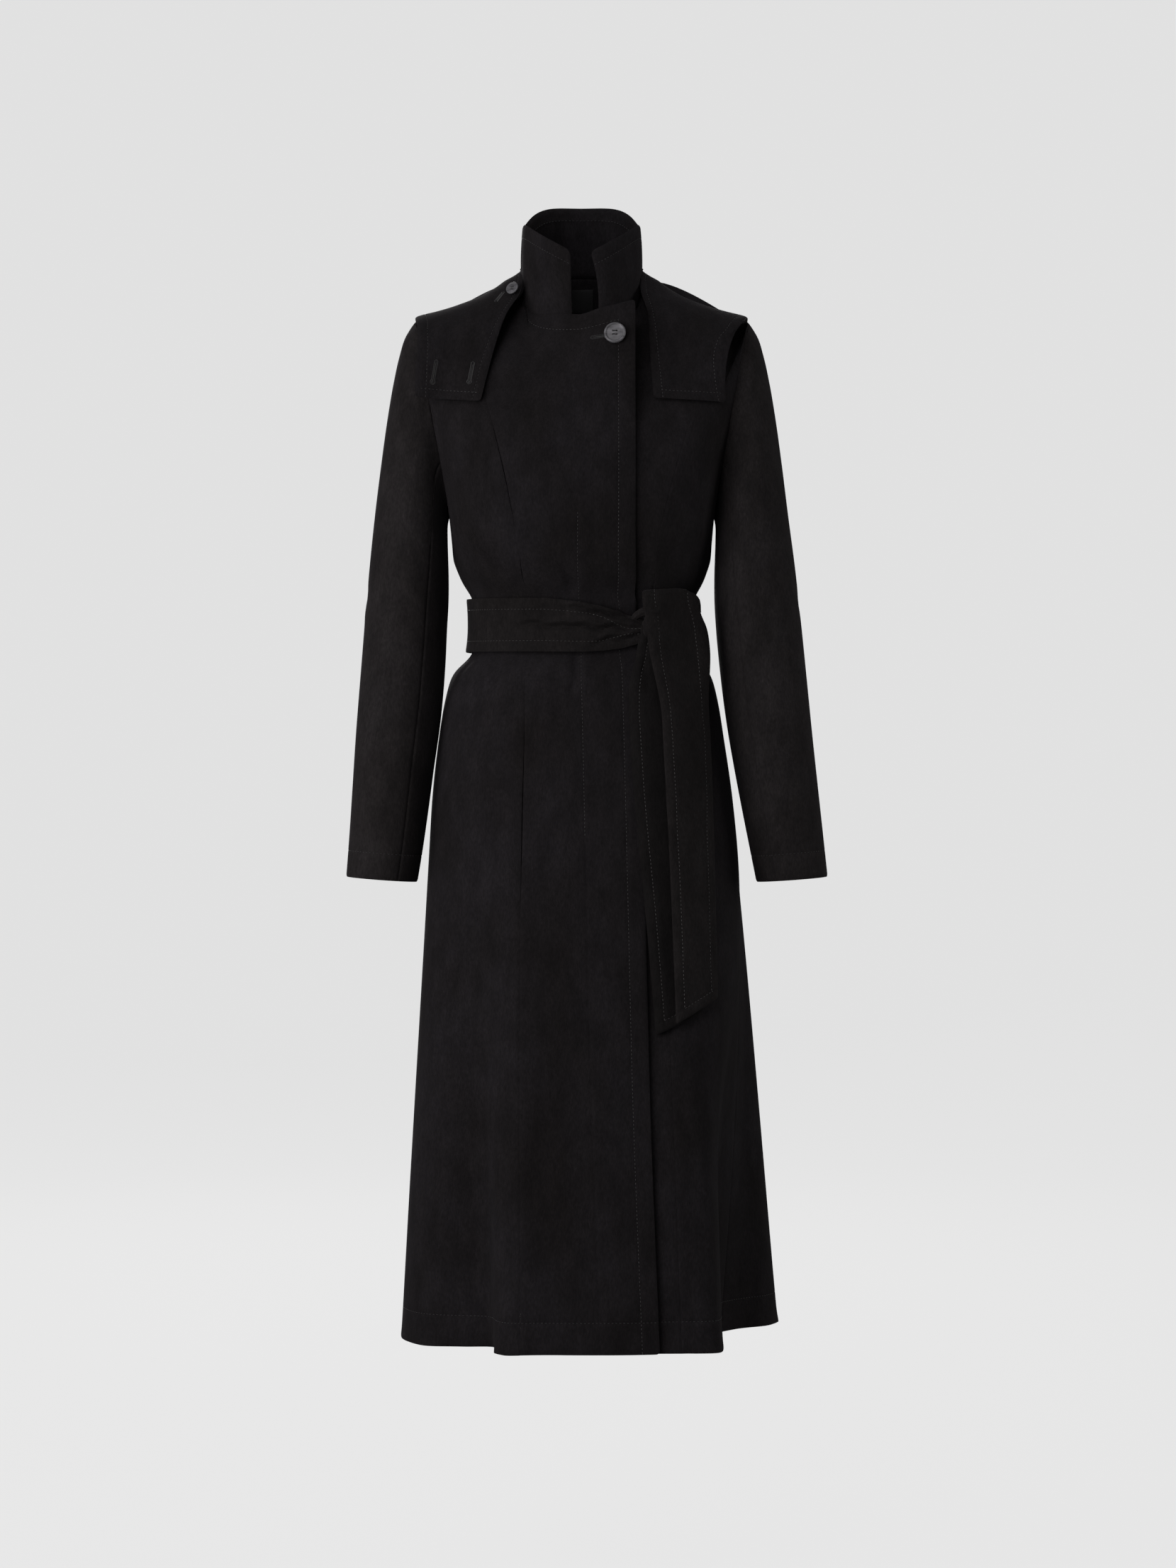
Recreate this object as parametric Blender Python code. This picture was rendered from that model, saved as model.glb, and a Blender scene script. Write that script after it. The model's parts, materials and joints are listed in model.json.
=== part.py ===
"""Belted long wool coat with a stand collar and a laid-down, button-on hood.

Every cut piece is a thin closed wall. Units are metres, +Z is up, the front faces -Y, and the
origin lies at the base of the neck between the shoulders. "Right" and "left" are the wearer's,
so the right side lies at -X. Angles round the body start at the front and grow towards +X.
"""

import math
from collections import namedtuple

import bmesh
import bpy
from mathutils import Vector
from mathutils.bvhtree import BVHTree

# Cloth
WALL = 0.0026           # one layer of coat wool with its backing
DOUBLE_WALL = 0.0044    # collar and belt, two layers sewn together
LABEL_WALL = 0.0010
SEAM_GAP = 0.0003
LAP_GAP = 0.0014        # air between layers that lie on each other
CLEARANCE = 0.0020      # least air between a laid-on piece and what carries it
HOOD_CLEARANCE = 0.0050

# Main sizes
HEM_Z = -1.161
CHEST_Z = -0.300        # the yoke above this height runs to neck, shoulder and armhole
UPPER_CENTRE = -0.006   # neck and shoulders lean this far to the wearer's right
SIDE_ANGLE = 90.0
SECTION_POWER = 2.4     # squareness of the body's cross-section
FOLD_POWER = 1.25       # how the skirt folds grow towards the hem
RIGHT = -1
LEFT = 1

# Neck, shoulder and armhole
NECK_HALF_WIDTH = 0.067
NECK_FRONT = 0.074
NECK_BACK = 0.060
NECK_FRONT_Z = -0.035
NECK_SIDE_Z = 0.005
NECK_BACK_Z = 0.020
NECK_ANGLE = 17.0       # columns nearer the centre than this end at the neck
SHOULDER_ANGLE = 40.0   # columns up to here end at the shoulder, the others at the armhole
SHOULDER_X = 0.184
SHOULDER_Z = -0.034
UNDERARM_X = 0.146
UNDERARM_Z = -0.250
ARMHOLE_HALF_DEPTH = 0.056
UNDERARM_ANGLE = 180.0

# Overlap of the right front over the left
LAP_TOP_Y = -0.084
LAP_CORNER_Z = -0.020
LAP_STEP_WAIST = 0.0065
LAP_STEP_HEM = 0.0110
LAP_EASE = 0.014        # width over which the under layer comes out from below the edge
NECK_LAP_ANGLES = (6.0, 14.0)

# Collar
COLLAR_TOP_HALF_WIDTH = 0.0655
COLLAR_TOP_FRONT = 0.086
COLLAR_TOP_BACK = 0.067
COLLAR_FRONT_Z = 0.026
COLLAR_SIDE_Z = 0.072
COLLAR_BACK_Z = 0.101
COLLAR_RIGHT_END = -8.5
COLLAR_LEFT_END_BASE = 15.0
COLLAR_LEFT_END_TOP = 6.6

# Belt
BELT_Z = -0.374
BELT_HALF_HEIGHT = 0.0285
BELT_DIP = 0.003        # the front of the belt hangs this much lower
KNOT_ANGLE = 29.0
KNOT_SPREAD = 26.0      # degrees over which the belt gathers into the knot
KNOT_PINCH = 0.48

# Buttons and label
BUTTON_FRONT_RADIUS = 0.0120
BUTTON_FRONT_PLACE = (0.0308, -0.0595)
BUTTON_COLLAR_RADIUS = 0.0075
BUTTON_COLLAR_PLACE = (-0.0806, -0.0060)
BUTTON_SIDES = 20
LABEL_HALF_WIDTH = 0.012
LABEL_DROP = 0.026

# Mesh density
ARMHOLE_SPANS = 6       # spans of each half of an armhole
SHOULDER_SPANS = 2
NECK_SPANS = 4          # spans of each quarter of the neck
LAP_SPANS = 3
YOKE_ROWS = 7
SLEEVE_SIDES = ARMHOLE_SPANS * 4
COLLAR_STEP = 90 / NECK_SPANS / 2
COLLAR_ROWS = 5
HOOD_ROWS = 17
HOOD_COLUMNS = 9
BELT_SIDES = 40
BELT_ROWS = 4
TAIL_ROWS = 16
TAIL_COLUMNS = 4


def named_rows(columns, rows):
    """A table as rows whose values are read by column name."""
    row_type = namedtuple("Row", columns)
    return [row_type(*row) for row in rows]


class Table:
    """Rows of sizes with named columns, read at any key by a smooth curve through the rows."""

    def __init__(self, columns, rows):
        self.columns = columns
        self.rows = sorted(rows)

    def at(self, key, column):
        index = self.columns.index(column)
        keys = [row[0] for row in self.rows]
        values = [row[index] for row in self.rows]
        return smooth_through(keys, values, key)


def smooth_through(keys, values, key):
    """Monotone cubic curve through the values, held level past both ends."""
    if key <= keys[0]:
        return values[0]
    if key >= keys[-1]:
        return values[-1]
    slopes = []
    for first in range(len(keys) - 1):
        slopes.append((values[first + 1] - values[first]) / (keys[first + 1] - keys[first]))
    slot = max(first for first in range(len(slopes)) if keys[first] <= key)

    def tangent(place):
        if place == 0:
            return slopes[0]
        if place == len(slopes):
            return slopes[-1]
        before = slopes[place - 1]
        after = slopes[place]
        if before * after <= 0:
            return 0.0
        return 2 * before * after / (before + after)

    span = keys[slot + 1] - keys[slot]
    t = (key - keys[slot]) / span
    rise = values[slot + 1] - values[slot]
    start_pull = tangent(slot) * span
    end_pull = tangent(slot + 1) * span
    cubic = start_pull + end_pull - 2 * rise
    square = 3 * rise - 2 * start_pull - end_pull
    return values[slot] + t * (start_pull + t * (square + t * cubic))


# Body sections from hem to chest
TRUNK = Table(
    ("z", "half_width", "front", "back", "centre_x"),
    (
        (-0.300, 0.1440, 0.1225, 0.106, -0.0055),
        (-0.318, 0.1375, 0.117, 0.101, -0.0050),
        (-0.340, 0.1300, 0.109, 0.096, -0.0045),
        (-0.356, 0.1240, 0.101, 0.092, -0.0040),
        (-0.374, 0.1220, 0.098, 0.091, -0.0040),
        (-0.392, 0.1250, 0.101, 0.093, -0.0045),
        (-0.411, 0.1360, 0.109, 0.099, -0.0055),
        (-0.435, 0.1470, 0.115, 0.105, -0.0060),
        (-0.482, 0.1560, 0.122, 0.111, -0.0062),
        (-0.530, 0.1630, 0.128, 0.117, -0.0060),
        (-0.624, 0.1734, 0.138, 0.125, -0.0020),
        (-0.766, 0.1845, 0.149, 0.134, 0.0020),
        (-0.956, 0.1960, 0.160, 0.145, 0.0042),
        (-1.161, 0.2060, 0.170, 0.156, 0.0050),
    ),
)

# Heights of the panel rows, closer together where the belt draws the waist in
PANEL_ROWS = (
    -1.161, -1.100, -1.030, -0.950, -0.870, -0.790, -0.710, -0.630, -0.560, -0.500, -0.455,
    -0.425, -0.404, -0.388, -0.374, -0.358, -0.340, -0.320, -0.300,
)

# Seam and edge places, as x at the front of the body
SEAMS = Table(
    ("z", "right_seam", "front_edge", "left_seam", "under_edge"),
    (
        (-0.300, -0.0737, 0.0530, 0.0745, -0.015),
        (-0.374, -0.0676, 0.0553, 0.0750, -0.024),
        (-0.450, -0.0676, 0.0576, 0.0762, -0.030),
        (-0.624, -0.0710, 0.0620, 0.0814, -0.038),
        (-0.861, -0.0727, 0.0676, 0.0910, -0.046),
        (-1.161, -0.0710, 0.0785, 0.1020, -0.048),
    ),
)

# Skirt folds: ridges stand out, troughs go in, full depth at the hem
FOLDS = named_rows(("angle", "half_spread", "depth", "start_z"), (
    (-27.0, 11.0, 0.009, -0.640),
    (-46.0, 15.0, -0.042, -0.600),
    (-78.0, 20.0, 0.007, -0.560),
    (-112.0, 18.0, -0.022, -0.620),
    (-140.0, 17.0, 0.016, -0.560),
    (-168.0, 16.0, -0.020, -0.520),
    (163.0, 15.0, 0.014, -0.600),
    (141.0, 14.0, -0.018, -0.560),
    (116.0, 22.0, 0.032, -0.420),
    (90.0, 24.0, -0.062, -0.560),
    (70.0, 20.0, -0.058, -0.620),
    (43.0, 13.0, 0.012, -0.640),
))

# Sleeve rings from armhole to cuff; x counts outwards from the upper centre
SLEEVE = Table(
    ("along", "out_x", "out_z", "in_x", "in_z", "mid_y", "half_depth", "lean"),
    (
        (0.00, 0.1840, -0.034, 0.1460, -0.250, 0.002, 0.0560, 0.000),
        (0.05, 0.1975, -0.056, 0.1490, -0.264, 0.001, 0.0590, 0.000),
        (0.10, 0.2040, -0.080, 0.1490, -0.282, 0.000, 0.0605, 0.000),
        (0.18, 0.2120, -0.120, 0.1480, -0.306, -0.002, 0.0610, 0.000),
        (0.27, 0.2200, -0.175, 0.1475, -0.336, -0.005, 0.0605, 0.000),
        (0.37, 0.2280, -0.240, 0.1490, -0.372, -0.009, 0.0595, 0.000),
        (0.50, 0.2370, -0.320, 0.1520, -0.420, -0.015, 0.0570, 0.001),
        (0.63, 0.2450, -0.410, 0.1570, -0.472, -0.023, 0.0540, 0.002),
        (0.77, 0.2530, -0.505, 0.1670, -0.540, -0.031, 0.0505, 0.003),
        (0.89, 0.2600, -0.590, 0.1775, -0.605, -0.036, 0.0475, 0.005),
        (1.00, 0.2655, -0.652, 0.1870, -0.658, -0.038, 0.0455, 0.006),
    ),
)
SLEEVE_ROWS = (0.0, 0.04, 0.09, 0.15, 0.22, 0.30, 0.39, 0.48, 0.57, 0.66, 0.75, 0.84, 0.92, 1.0)

# Hood sections from flap end over the shoulder to centre back: neck edge, middle and face edge.
# The lift is the way a section is moved out of what it lies on.
HOOD_NAMES = (
    "section", "neck_x", "neck_y", "neck_z", "mid_x", "mid_y", "mid_z", "face_x", "face_y", "face_z",
    "lift_y", "lift_z",
)
HOOD_BACK = named_rows(HOOD_NAMES, (
    ("front_shoulder", 0.0705, -0.034, -0.004, 0.1260, -0.040, -0.024, 0.1830, -0.032, -0.036, -0.6, 1.0),
    ("shoulder", 0.0720, -0.002, 0.0240, 0.1280, -0.004, -0.0130, 0.1860, -0.002, -0.0270, 0.0, 1.0),
    ("rear_shoulder", 0.0730, 0.032, 0.0260, 0.1330, 0.058, -0.0260, 0.1830, 0.072, -0.0400, 0.5, 1.0),
    ("blade", 0.0560, 0.062, 0.0280, 0.1150, 0.120, -0.1500, 0.1480, 0.138, -0.0560, 1.0, 0.3),
    ("pouch", 0.0260, 0.073, 0.0290, 0.0640, 0.140, -0.2230, 0.0820, 0.164, -0.0640, 1.0, 0.0),
    ("centre_back", 0.0002, 0.075, 0.0290, 0.0002, 0.146, -0.2320, 0.0002, 0.172, -0.0660, 1.0, 0.0),
))
FLAP_NAMES = ("section", "inner_x", "inner_z", "outer_x", "outer_z", "lift_y", "lift_z")
FLAPS = {
    RIGHT: named_rows(FLAP_NAMES, (
        ("flap_end", 0.1100, -0.1325, 0.1825, -0.1265, -1.0, 0.0),
        ("flap_middle", 0.0990, -0.0850, 0.1805, -0.0800, -1.0, 0.0),
        ("flap_top", 0.0870, -0.0440, 0.1800, -0.0500, -1.0, 0.3),
    )),
    LEFT: named_rows(FLAP_NAMES, (
        ("flap_end", 0.0790, -0.1290, 0.1590, -0.1320, -1.0, 0.0),
        ("flap_middle", 0.0755, -0.0850, 0.1570, -0.0800, -1.0, 0.0),
        ("flap_top", 0.0740, -0.0440, 0.1690, -0.0500, -1.0, 0.3),
    )),
}
FLAP_FRONT_Y = -0.070

# Belt tails: edges by height; "out" is how far the strip hangs in front of the coat
TAIL_NAMES = ("z", "left_edge", "right_edge", "out")
FRONT_TAIL = Table(
    TAIL_NAMES,
    (
        (-0.343, 0.0700, 0.1180, 0.0120),
        (-0.374, 0.0745, 0.1270, 0.0130),
        (-0.430, 0.0790, 0.1320, 0.0130),
        (-0.520, 0.0840, 0.1370, 0.0115),
        (-0.640, 0.0900, 0.1400, 0.0110),
        (-0.800, 0.0960, 0.1430, 0.0110),
    ),
)
FRONT_TAIL_TOP = (-0.345, -0.340)
FRONT_TAIL_END = (-0.8085, -0.7810)
BACK_TAIL = Table(
    TAIL_NAMES,
    (
        (-0.404, 0.0550, 0.1000, 0.0050),
        (-0.453, 0.0455, 0.1010, 0.0028),
        (-0.530, 0.0490, 0.1040, 0.0022),
        (-0.719, 0.0660, 0.1200, 0.0022),
        (-0.820, 0.0745, 0.1290, 0.0022),
    ),
)
BACK_TAIL_TOP = (-0.4085, -0.4085)
BACK_TAIL_END = (-0.8207, -0.7950)

# Curve shapes
FRONT_REACH = 80.0      # the front is searched this many degrees to each side
BISECTIONS = 40
SLOPE_STEP = 0.004      # small steps over which slopes are taken
TURN_STEP = 0.8
SHARE_STEP = 0.03
NECK_DROP = 1.2
NECK_CORNER_NORMAL = (0.60, 0.0, 0.80)
ARMHOLE_Y = 0.002
NECK_TURN = 2.2         # how late a column turns in to its top edge
SHOULDER_TURN = 3.0
UNDERARM_TURN = 1.5
YOKE_FAN = 0.35
CHEST_SWELL = 0.055
LAP_TOP_SHARE = 0.4
LAP_MARGIN = 0.002
COLLAR_SWELL = 0.0015
COLLAR_END_SPREAD = 60.0
RELAX_SHARE = 0.6
RELAX_PASSES = 2
RAY_REACH = 0.5
SHARP_ANGLE = 50.0

# Knot
KNOT_HALF_SIZE = (0.0135, 0.0075, 0.0220)
KNOT_SIDES = 12
KNOT_ROWS = 8
KNOT_SQUARENESS = 0.75
TAIL_REACH = 0.90

# Button profile as shares of the radius, from the underside to the dished face
BUTTON_PROFILE = ((0.80, 0.00), (0.97, 0.06), (1.00, 0.16), (0.94, 0.27), (0.82, 0.29), (0.70, 0.22))
LABEL_X = -0.005
LABEL_TOP_Z = 0.008
LABEL_CELLS = 4


def blend(start, end, t):
    return start + (end - start) * t


def ease(t):
    held = min(1.0, max(0.0, t))
    return held * held * (3 - 2 * held)


def bump(t):
    """Round hump of height one over -1 to 1."""
    if abs(t) >= 1:
        return 0.0
    return math.cos(math.pi * t / 2) ** 2


def turn_between(angle, other):
    return (angle - other + 180.0) % 360.0 - 180.0


def outwards(angle):
    """Level direction away from the body at an angle from the front."""
    return Vector((math.sin(math.radians(angle)), -math.cos(math.radians(angle)), 0))


def section_radius(angle, half_width, front, back, power):
    """Radius of a rounded section whose front and back depths differ."""
    across = abs(math.sin(math.radians(angle))) / half_width
    forward = math.cos(math.radians(angle))
    depth = abs(forward) / (front if forward > 0 else back)
    return (across ** power + depth ** power) ** (-1 / power)


# The coat's outer face

def coat_point(angle, z):
    """Point of the coat's outer face from hem to chest, with the skirt's folds."""
    radius = section_radius(
        angle, TRUNK.at(z, "half_width"), TRUNK.at(z, "front"), TRUNK.at(z, "back"), SECTION_POWER)
    for fold in FOLDS:
        growth = max(0.0, (fold.start_z - z) / (fold.start_z - HEM_Z)) ** FOLD_POWER
        radius += fold.depth * growth * bump(turn_between(angle, fold.angle) / fold.half_spread)
    return Vector((TRUNK.at(z, "centre_x"), 0, z)) + outwards(angle) * radius


def angle_at_x(x, z):
    """Angle at which the front of the coat stands at this x."""
    low = -FRONT_REACH
    high = FRONT_REACH
    for _ in range(BISECTIONS):
        middle = (low + high) / 2
        if coat_point(middle, z).x < x:
            low = middle
        else:
            high = middle
    return (low + high) / 2


def neck_point(angle):
    """Point of the neck seam."""
    radius = section_radius(angle, NECK_HALF_WIDTH, NECK_FRONT, NECK_BACK, 2)
    forward = math.cos(math.radians(angle))
    if forward > 0:
        z = blend(NECK_SIDE_Z, NECK_FRONT_Z, math.sin(math.pi / 2 * min(1, NECK_DROP * forward)))
    else:
        z = blend(NECK_SIDE_Z, NECK_BACK_Z, -forward)
    return Vector((UPPER_CENTRE, 0, z)) + outwards(angle) * radius


def neck_seam(angle):
    """The neck seam as the panels' straight spans draw it."""
    span = 90 / NECK_SPANS
    low = math.floor(angle / span) * span
    return blend(neck_point(low), neck_point(low + span), (angle - low) / span)


def armhole_offset(angle, facing):
    """Way from the armhole's middle to its edge; 0 is the shoulder and 180 the underarm."""
    up = Vector((SHOULDER_X - UNDERARM_X, 0, SHOULDER_Z - UNDERARM_Z)) / 2
    aside = Vector((0, facing * ARMHOLE_HALF_DEPTH, 0))
    return up * math.cos(math.radians(angle)) + aside * math.sin(math.radians(angle))


def armhole_point(side, angle, facing):
    middle = Vector((SHOULDER_X + UNDERARM_X, 0, SHOULDER_Z + UNDERARM_Z)) / 2
    point = middle + armhole_offset(angle, facing)
    return Vector((UPPER_CENTRE + side * point.x, ARMHOLE_Y + point.y, point.z))


def sideways(side, vector):
    return Vector((side * vector.x, vector.y, vector.z))


def yoke_top(angle):
    """End of a yoke column: its point, how late the column turns in to it, and the edge's normal."""
    turned = turn_between(angle, 0)
    side = LEFT if turned > 0 else RIGHT
    facing = -1 if abs(turned) < SIDE_ANGLE else 1
    off_centre = abs(turned) if facing < 0 else 180 - abs(turned)
    seam = Vector((0, facing * SEAM_GAP / 2, 0))
    corner_normal = sideways(side, Vector(NECK_CORNER_NORMAL)).normalized()
    if off_centre <= NECK_ANGLE:
        share = off_centre / NECK_ANGLE
        neck_angle = side * SIDE_ANGLE * share
        if facing > 0:
            neck_angle = 180 - neck_angle
        normal = blend(outwards(neck_angle), corner_normal, share ** 3).normalized()
        return neck_point(neck_angle) + seam, blend(NECK_TURN, SHOULDER_TURN, share), normal
    if off_centre <= SHOULDER_ANGLE:
        share = (off_centre - NECK_ANGLE) / (SHOULDER_ANGLE - NECK_ANGLE)
        point = blend(neck_point(side * SIDE_ANGLE), armhole_point(side, 0, facing), share)
        tip_normal = sideways(side, armhole_offset(0, facing)).normalized()
        return point + seam, SHOULDER_TURN, blend(corner_normal, tip_normal, share).normalized()
    share = (off_centre - SHOULDER_ANGLE) / (SIDE_ANGLE - SHOULDER_ANGLE)
    hole_angle = min(UNDERARM_ANGLE * share, UNDERARM_ANGLE)
    point = armhole_point(side, hole_angle, facing) - Vector((side * SEAM_GAP / 2, 0, 0))
    normal = sideways(side, armhole_offset(hole_angle, facing)).normalized()
    return point + seam, blend(SHOULDER_TURN, UNDERARM_TURN, share), normal


def lap_top(angle):
    """Top edge of the right front, which runs on across the neck to its free corner."""
    if angle <= 0:
        return yoke_top(angle)
    start_x = coat_point(0, CHEST_Z).x
    x = coat_point(angle, CHEST_Z).x
    share = min(1.0, (x - start_x) / (SEAMS.at(CHEST_Z, "front_edge") - start_x))
    z = blend(NECK_FRONT_Z, LAP_CORNER_Z, share)
    y = blend(-NECK_FRONT, LAP_TOP_Y, ease(share / LAP_TOP_SHARE))
    return Vector((x, y, z)), NECK_TURN, outwards(0)


def yoke_point(angle, t, top):
    """Point between chest and top edge: columns fan out evenly and turn in late to the shoulder."""
    start = coat_point(angle, CHEST_Z)
    end, turn, _ = top(angle)
    forward = math.cos(math.radians(angle))
    swell = CHEST_SWELL * t * (1 - t) ** 3 * forward
    return Vector((
        blend(start.x, end.x, t + YOKE_FAN * (t * t - t)),
        blend(start.y, end.y, t ** turn) - swell,
        blend(start.z, end.z, t)))


def coat_surface(angle, z, t, top):
    """Point of a panel: by height up to the chest, by share of the yoke above it."""
    if t > 0:
        return yoke_point(angle, t, top)
    return coat_point(angle, z)


def coat_normal(angle, z, t, top):
    """Outward normal of a panel's face."""
    across = coat_surface(angle + TURN_STEP, z, t, top) - coat_surface(angle - TURN_STEP, z, t, top)
    if t > 0:
        climb = yoke_point(angle, min(1.0, t + SHARE_STEP), top) - yoke_point(angle, t - SHARE_STEP, top)
    elif z < CHEST_Z:
        climb = coat_point(angle, z + SLOPE_STEP) - coat_point(angle, z - SLOPE_STEP)
    else:
        climb = coat_point(angle, z) - coat_point(angle, z - SLOPE_STEP)
    return across.cross(climb).normalized()


# Meshes

def make_material(name, colour, roughness):
    material = bpy.data.materials.new(name)
    material.use_nodes = True
    shader = material.node_tree.nodes["Principled BSDF"]
    shader.inputs["Base Color"].default_value = (*colour, 1)
    shader.inputs["Roughness"].default_value = roughness
    shader.inputs["Metallic"].default_value = 0.0
    return material


def make_object(name, shape, material):
    bmesh.ops.recalc_face_normals(shape, faces=shape.faces)
    mesh = bpy.data.meshes.new(name)
    shape.to_mesh(mesh)
    shape.free()
    mesh.materials.append(material)
    mesh.shade_smooth()
    mesh.set_sharp_from_angle(angle=math.radians(SHARP_ANGLE))
    made = bpy.data.objects.new(name, mesh)
    bpy.context.scene.collection.objects.link(made)
    return made


def make_wall(name, outer, inner, material, closed=False):
    """Closed wall between two grids of points; a closed grid joins its last column to its first."""
    shape = bmesh.new()
    sheets = []
    for grid in (outer, inner):
        sheets.append([[shape.verts.new(point) for point in row] for row in grid])
    rows = len(outer)
    columns = len(outer[0])
    spans = columns if closed else columns - 1
    for sheet in sheets:
        for i in range(rows - 1):
            for j in range(spans):
                k = (j + 1) % columns
                shape.faces.new((sheet[i][j], sheet[i][k], sheet[i + 1][k], sheet[i + 1][j]))
    front, behind = sheets
    for i in (0, rows - 1):
        for j in range(spans):
            k = (j + 1) % columns
            shape.faces.new((front[i][j], front[i][k], behind[i][k], behind[i][j]))
    if not closed:
        for j in (0, columns - 1):
            for i in range(rows - 1):
                shape.faces.new((front[i][j], front[i + 1][j], behind[i + 1][j], behind[i][j]))
    return make_object(name, shape, material)


def grid_normals(grid, closed=False):
    """Normals across a grid of points, to the left of its rows as they climb."""
    normals = []
    last = len(grid) - 1
    columns = len(grid[0])
    for i, row in enumerate(grid):
        line = []
        for j in range(columns):
            climb = grid[min(i + 1, last)][j] - grid[max(i - 1, 0)][j]
            if closed:
                across = row[(j + 1) % columns] - row[j - 1]
            else:
                across = row[min(j + 1, columns - 1)] - row[max(j - 1, 0)]
            line.append(across.cross(climb).normalized())
        normals.append(line)
    return normals


def moved(grid, normals, distance):
    """The grid's points moved out along their normals."""
    result = []
    for row, line in zip(grid, normals):
        result.append([point + normal * distance for point, normal in zip(row, line)])
    return result


def surface_tree(objects):
    """One search tree over the faces of several pieces."""
    points = []
    faces = []
    for piece in objects:
        first = len(points)
        points.extend(vertex.co.copy() for vertex in piece.data.vertices)
        faces.extend([first + index for index in face.vertices] for face in piece.data.polygons)
    return BVHTree.FromPolygons(points, faces)


def lay_on(grid, lifts, tree, height):
    """Move each point out along its row's lift until it clears what it lies on."""
    result = []
    for row, lift in zip(grid, lifts):
        way = lift.normalized()
        laid = []
        for point in row:
            hit = tree.ray_cast(point + way * RAY_REACH, -way, RAY_REACH * 2)[0]
            short = 0.0
            if hit is not None:
                short = max(0.0, (hit - point).dot(way) + height)
            laid.append(point + way * short)
        result.append(laid)
    return result


def relax(grid, passes):
    """Even out a grid's inner points and keep its rim."""
    for _ in range(passes):
        calm = [list(row) for row in grid]
        for i in range(1, len(grid) - 1):
            for j in range(1, len(grid[0]) - 1):
                around = grid[i - 1][j] + grid[i + 1][j] + grid[i][j - 1] + grid[i][j + 1]
                calm[i][j] = blend(grid[i][j], around / 4, RELAX_SHARE)
        grid = calm
    return grid


# Pieces

def column_shares(edges, stops):
    """Shares across a panel at which its columns stand; each stop is an angle that gets a column."""
    first, last = edges(CHEST_Z)
    marks = [first] + [angle for angle, _ in stops[:-1]] + [last]
    shares = []
    for low, high, (_, spans) in zip(marks, marks[1:], stops):
        for step in range(spans):
            shares.append((blend(low, high, step / spans) - first) / (last - first))
    shares.append(1.0)
    return shares


def make_panel(name, edges, stops, material, top=yoke_top, inset=None):
    """One body panel from hem to its top edge, between two seams given as angles by height."""
    shares = column_shares(edges, stops)
    levels = [(z, 0.0) for z in PANEL_ROWS]
    levels += [(CHEST_Z, (step + 1) / YOKE_ROWS) for step in range(YOKE_ROWS)]
    outer = []
    inner = []
    for z, t in levels:
        first, last = edges(z)
        face = []
        inside = []
        for share in shares:
            angle = blend(first, last, share)
            point = coat_surface(angle, z, t, top)
            normal = top(angle)[2] if t == 1 else coat_normal(angle, z, t, top)
            if inset is not None:
                point = point - normal * inset(point, angle, z, t)
            face.append(point)
            inside.append(point - normal * WALL)
        outer.append(face)
        inner.append(inside)
    return make_wall(name, outer, inner, material)


def seam_angles(first, last):
    """Panel edges by height, half a seam gap in from each named seam."""

    def edge_angle(name, z, gap):
        if name == "right_side":
            return -SIDE_ANGLE + gap
        if name == "left_side":
            return SIDE_ANGLE + gap
        return angle_at_x(SEAMS.at(z, name), z) + gap

    def edges(z):
        gap = math.degrees(SEAM_GAP / 2 / TRUNK.at(z, "front"))
        return edge_angle(first, z, gap), edge_angle(last, z, -gap)

    return edges


def under_lap(point, angle, z, t):
    """How far the left front lies in below the right front."""
    past_edge = point.x - SEAMS.at(z, "front_edge") - LAP_MARGIN
    covered = 1 - ease(past_edge / LAP_EASE)
    low, high = NECK_LAP_ANGLES
    covered_at_neck = min(covered, 1 - ease((angle - low) / (high - low)))
    share = blend(covered, covered_at_neck, ease(t * 2 - 1))
    step = blend(LAP_STEP_WAIST, LAP_STEP_HEM, ease((BELT_Z - z) / (BELT_Z - HEM_Z)))
    return step * share


def back_edges(z):
    gap = math.degrees(SEAM_GAP / 2 / TRUNK.at(z, "front"))
    return SIDE_ANGLE + gap, 360 - SIDE_ANGLE - gap


def back_stops():
    """Armhole, shoulder and neck stops across the back, from the left side seam to the right."""
    return (
        (180 - SHOULDER_ANGLE, ARMHOLE_SPANS), (180 - NECK_ANGLE, SHOULDER_SPANS), (180, NECK_SPANS),
        (180 + NECK_ANGLE, NECK_SPANS), (180 + SHOULDER_ANGLE, SHOULDER_SPANS), (None, ARMHOLE_SPANS),
    )


def make_sleeve(name, side, material):
    """Set-in sleeve: rings from the armhole to the open cuff."""
    grid = []
    for along in SLEEVE_ROWS:
        outer = Vector((SLEEVE.at(along, "out_x"), 0, SLEEVE.at(along, "out_z")))
        inner = Vector((SLEEVE.at(along, "in_x"), 0, SLEEVE.at(along, "in_z")))
        middle = (outer + inner) / 2
        middle.y = SLEEVE.at(along, "mid_y")
        half_depth = SLEEVE.at(along, "half_depth")
        shift = UPPER_CENTRE + SLEEVE.at(along, "lean") + side * SEAM_GAP / 2
        ring = []
        for step in range(SLEEVE_SIDES):
            turn = math.tau * step / SLEEVE_SIDES
            point = middle + (outer - inner) / 2 * math.cos(turn)
            point.y -= half_depth * math.sin(turn)
            ring.append(sideways(side, point) + Vector((shift, 0, 0)))
        grid.append(ring)
    normals = grid_normals(grid, closed=True)
    if normals[-1][0].x * side < 0:
        normals = [[-normal for normal in line] for line in normals]
    for step in range(SLEEVE_SIDES):
        offset = armhole_offset(360 * step / SLEEVE_SIDES, -1)
        normals[0][step] = sideways(side, offset).normalized()
    inner = moved(grid, normals, -WALL)
    for rings in (grid, inner):
        straighten_spans(rings[0])
    return make_wall(name, grid, inner, material, closed=True)


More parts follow.
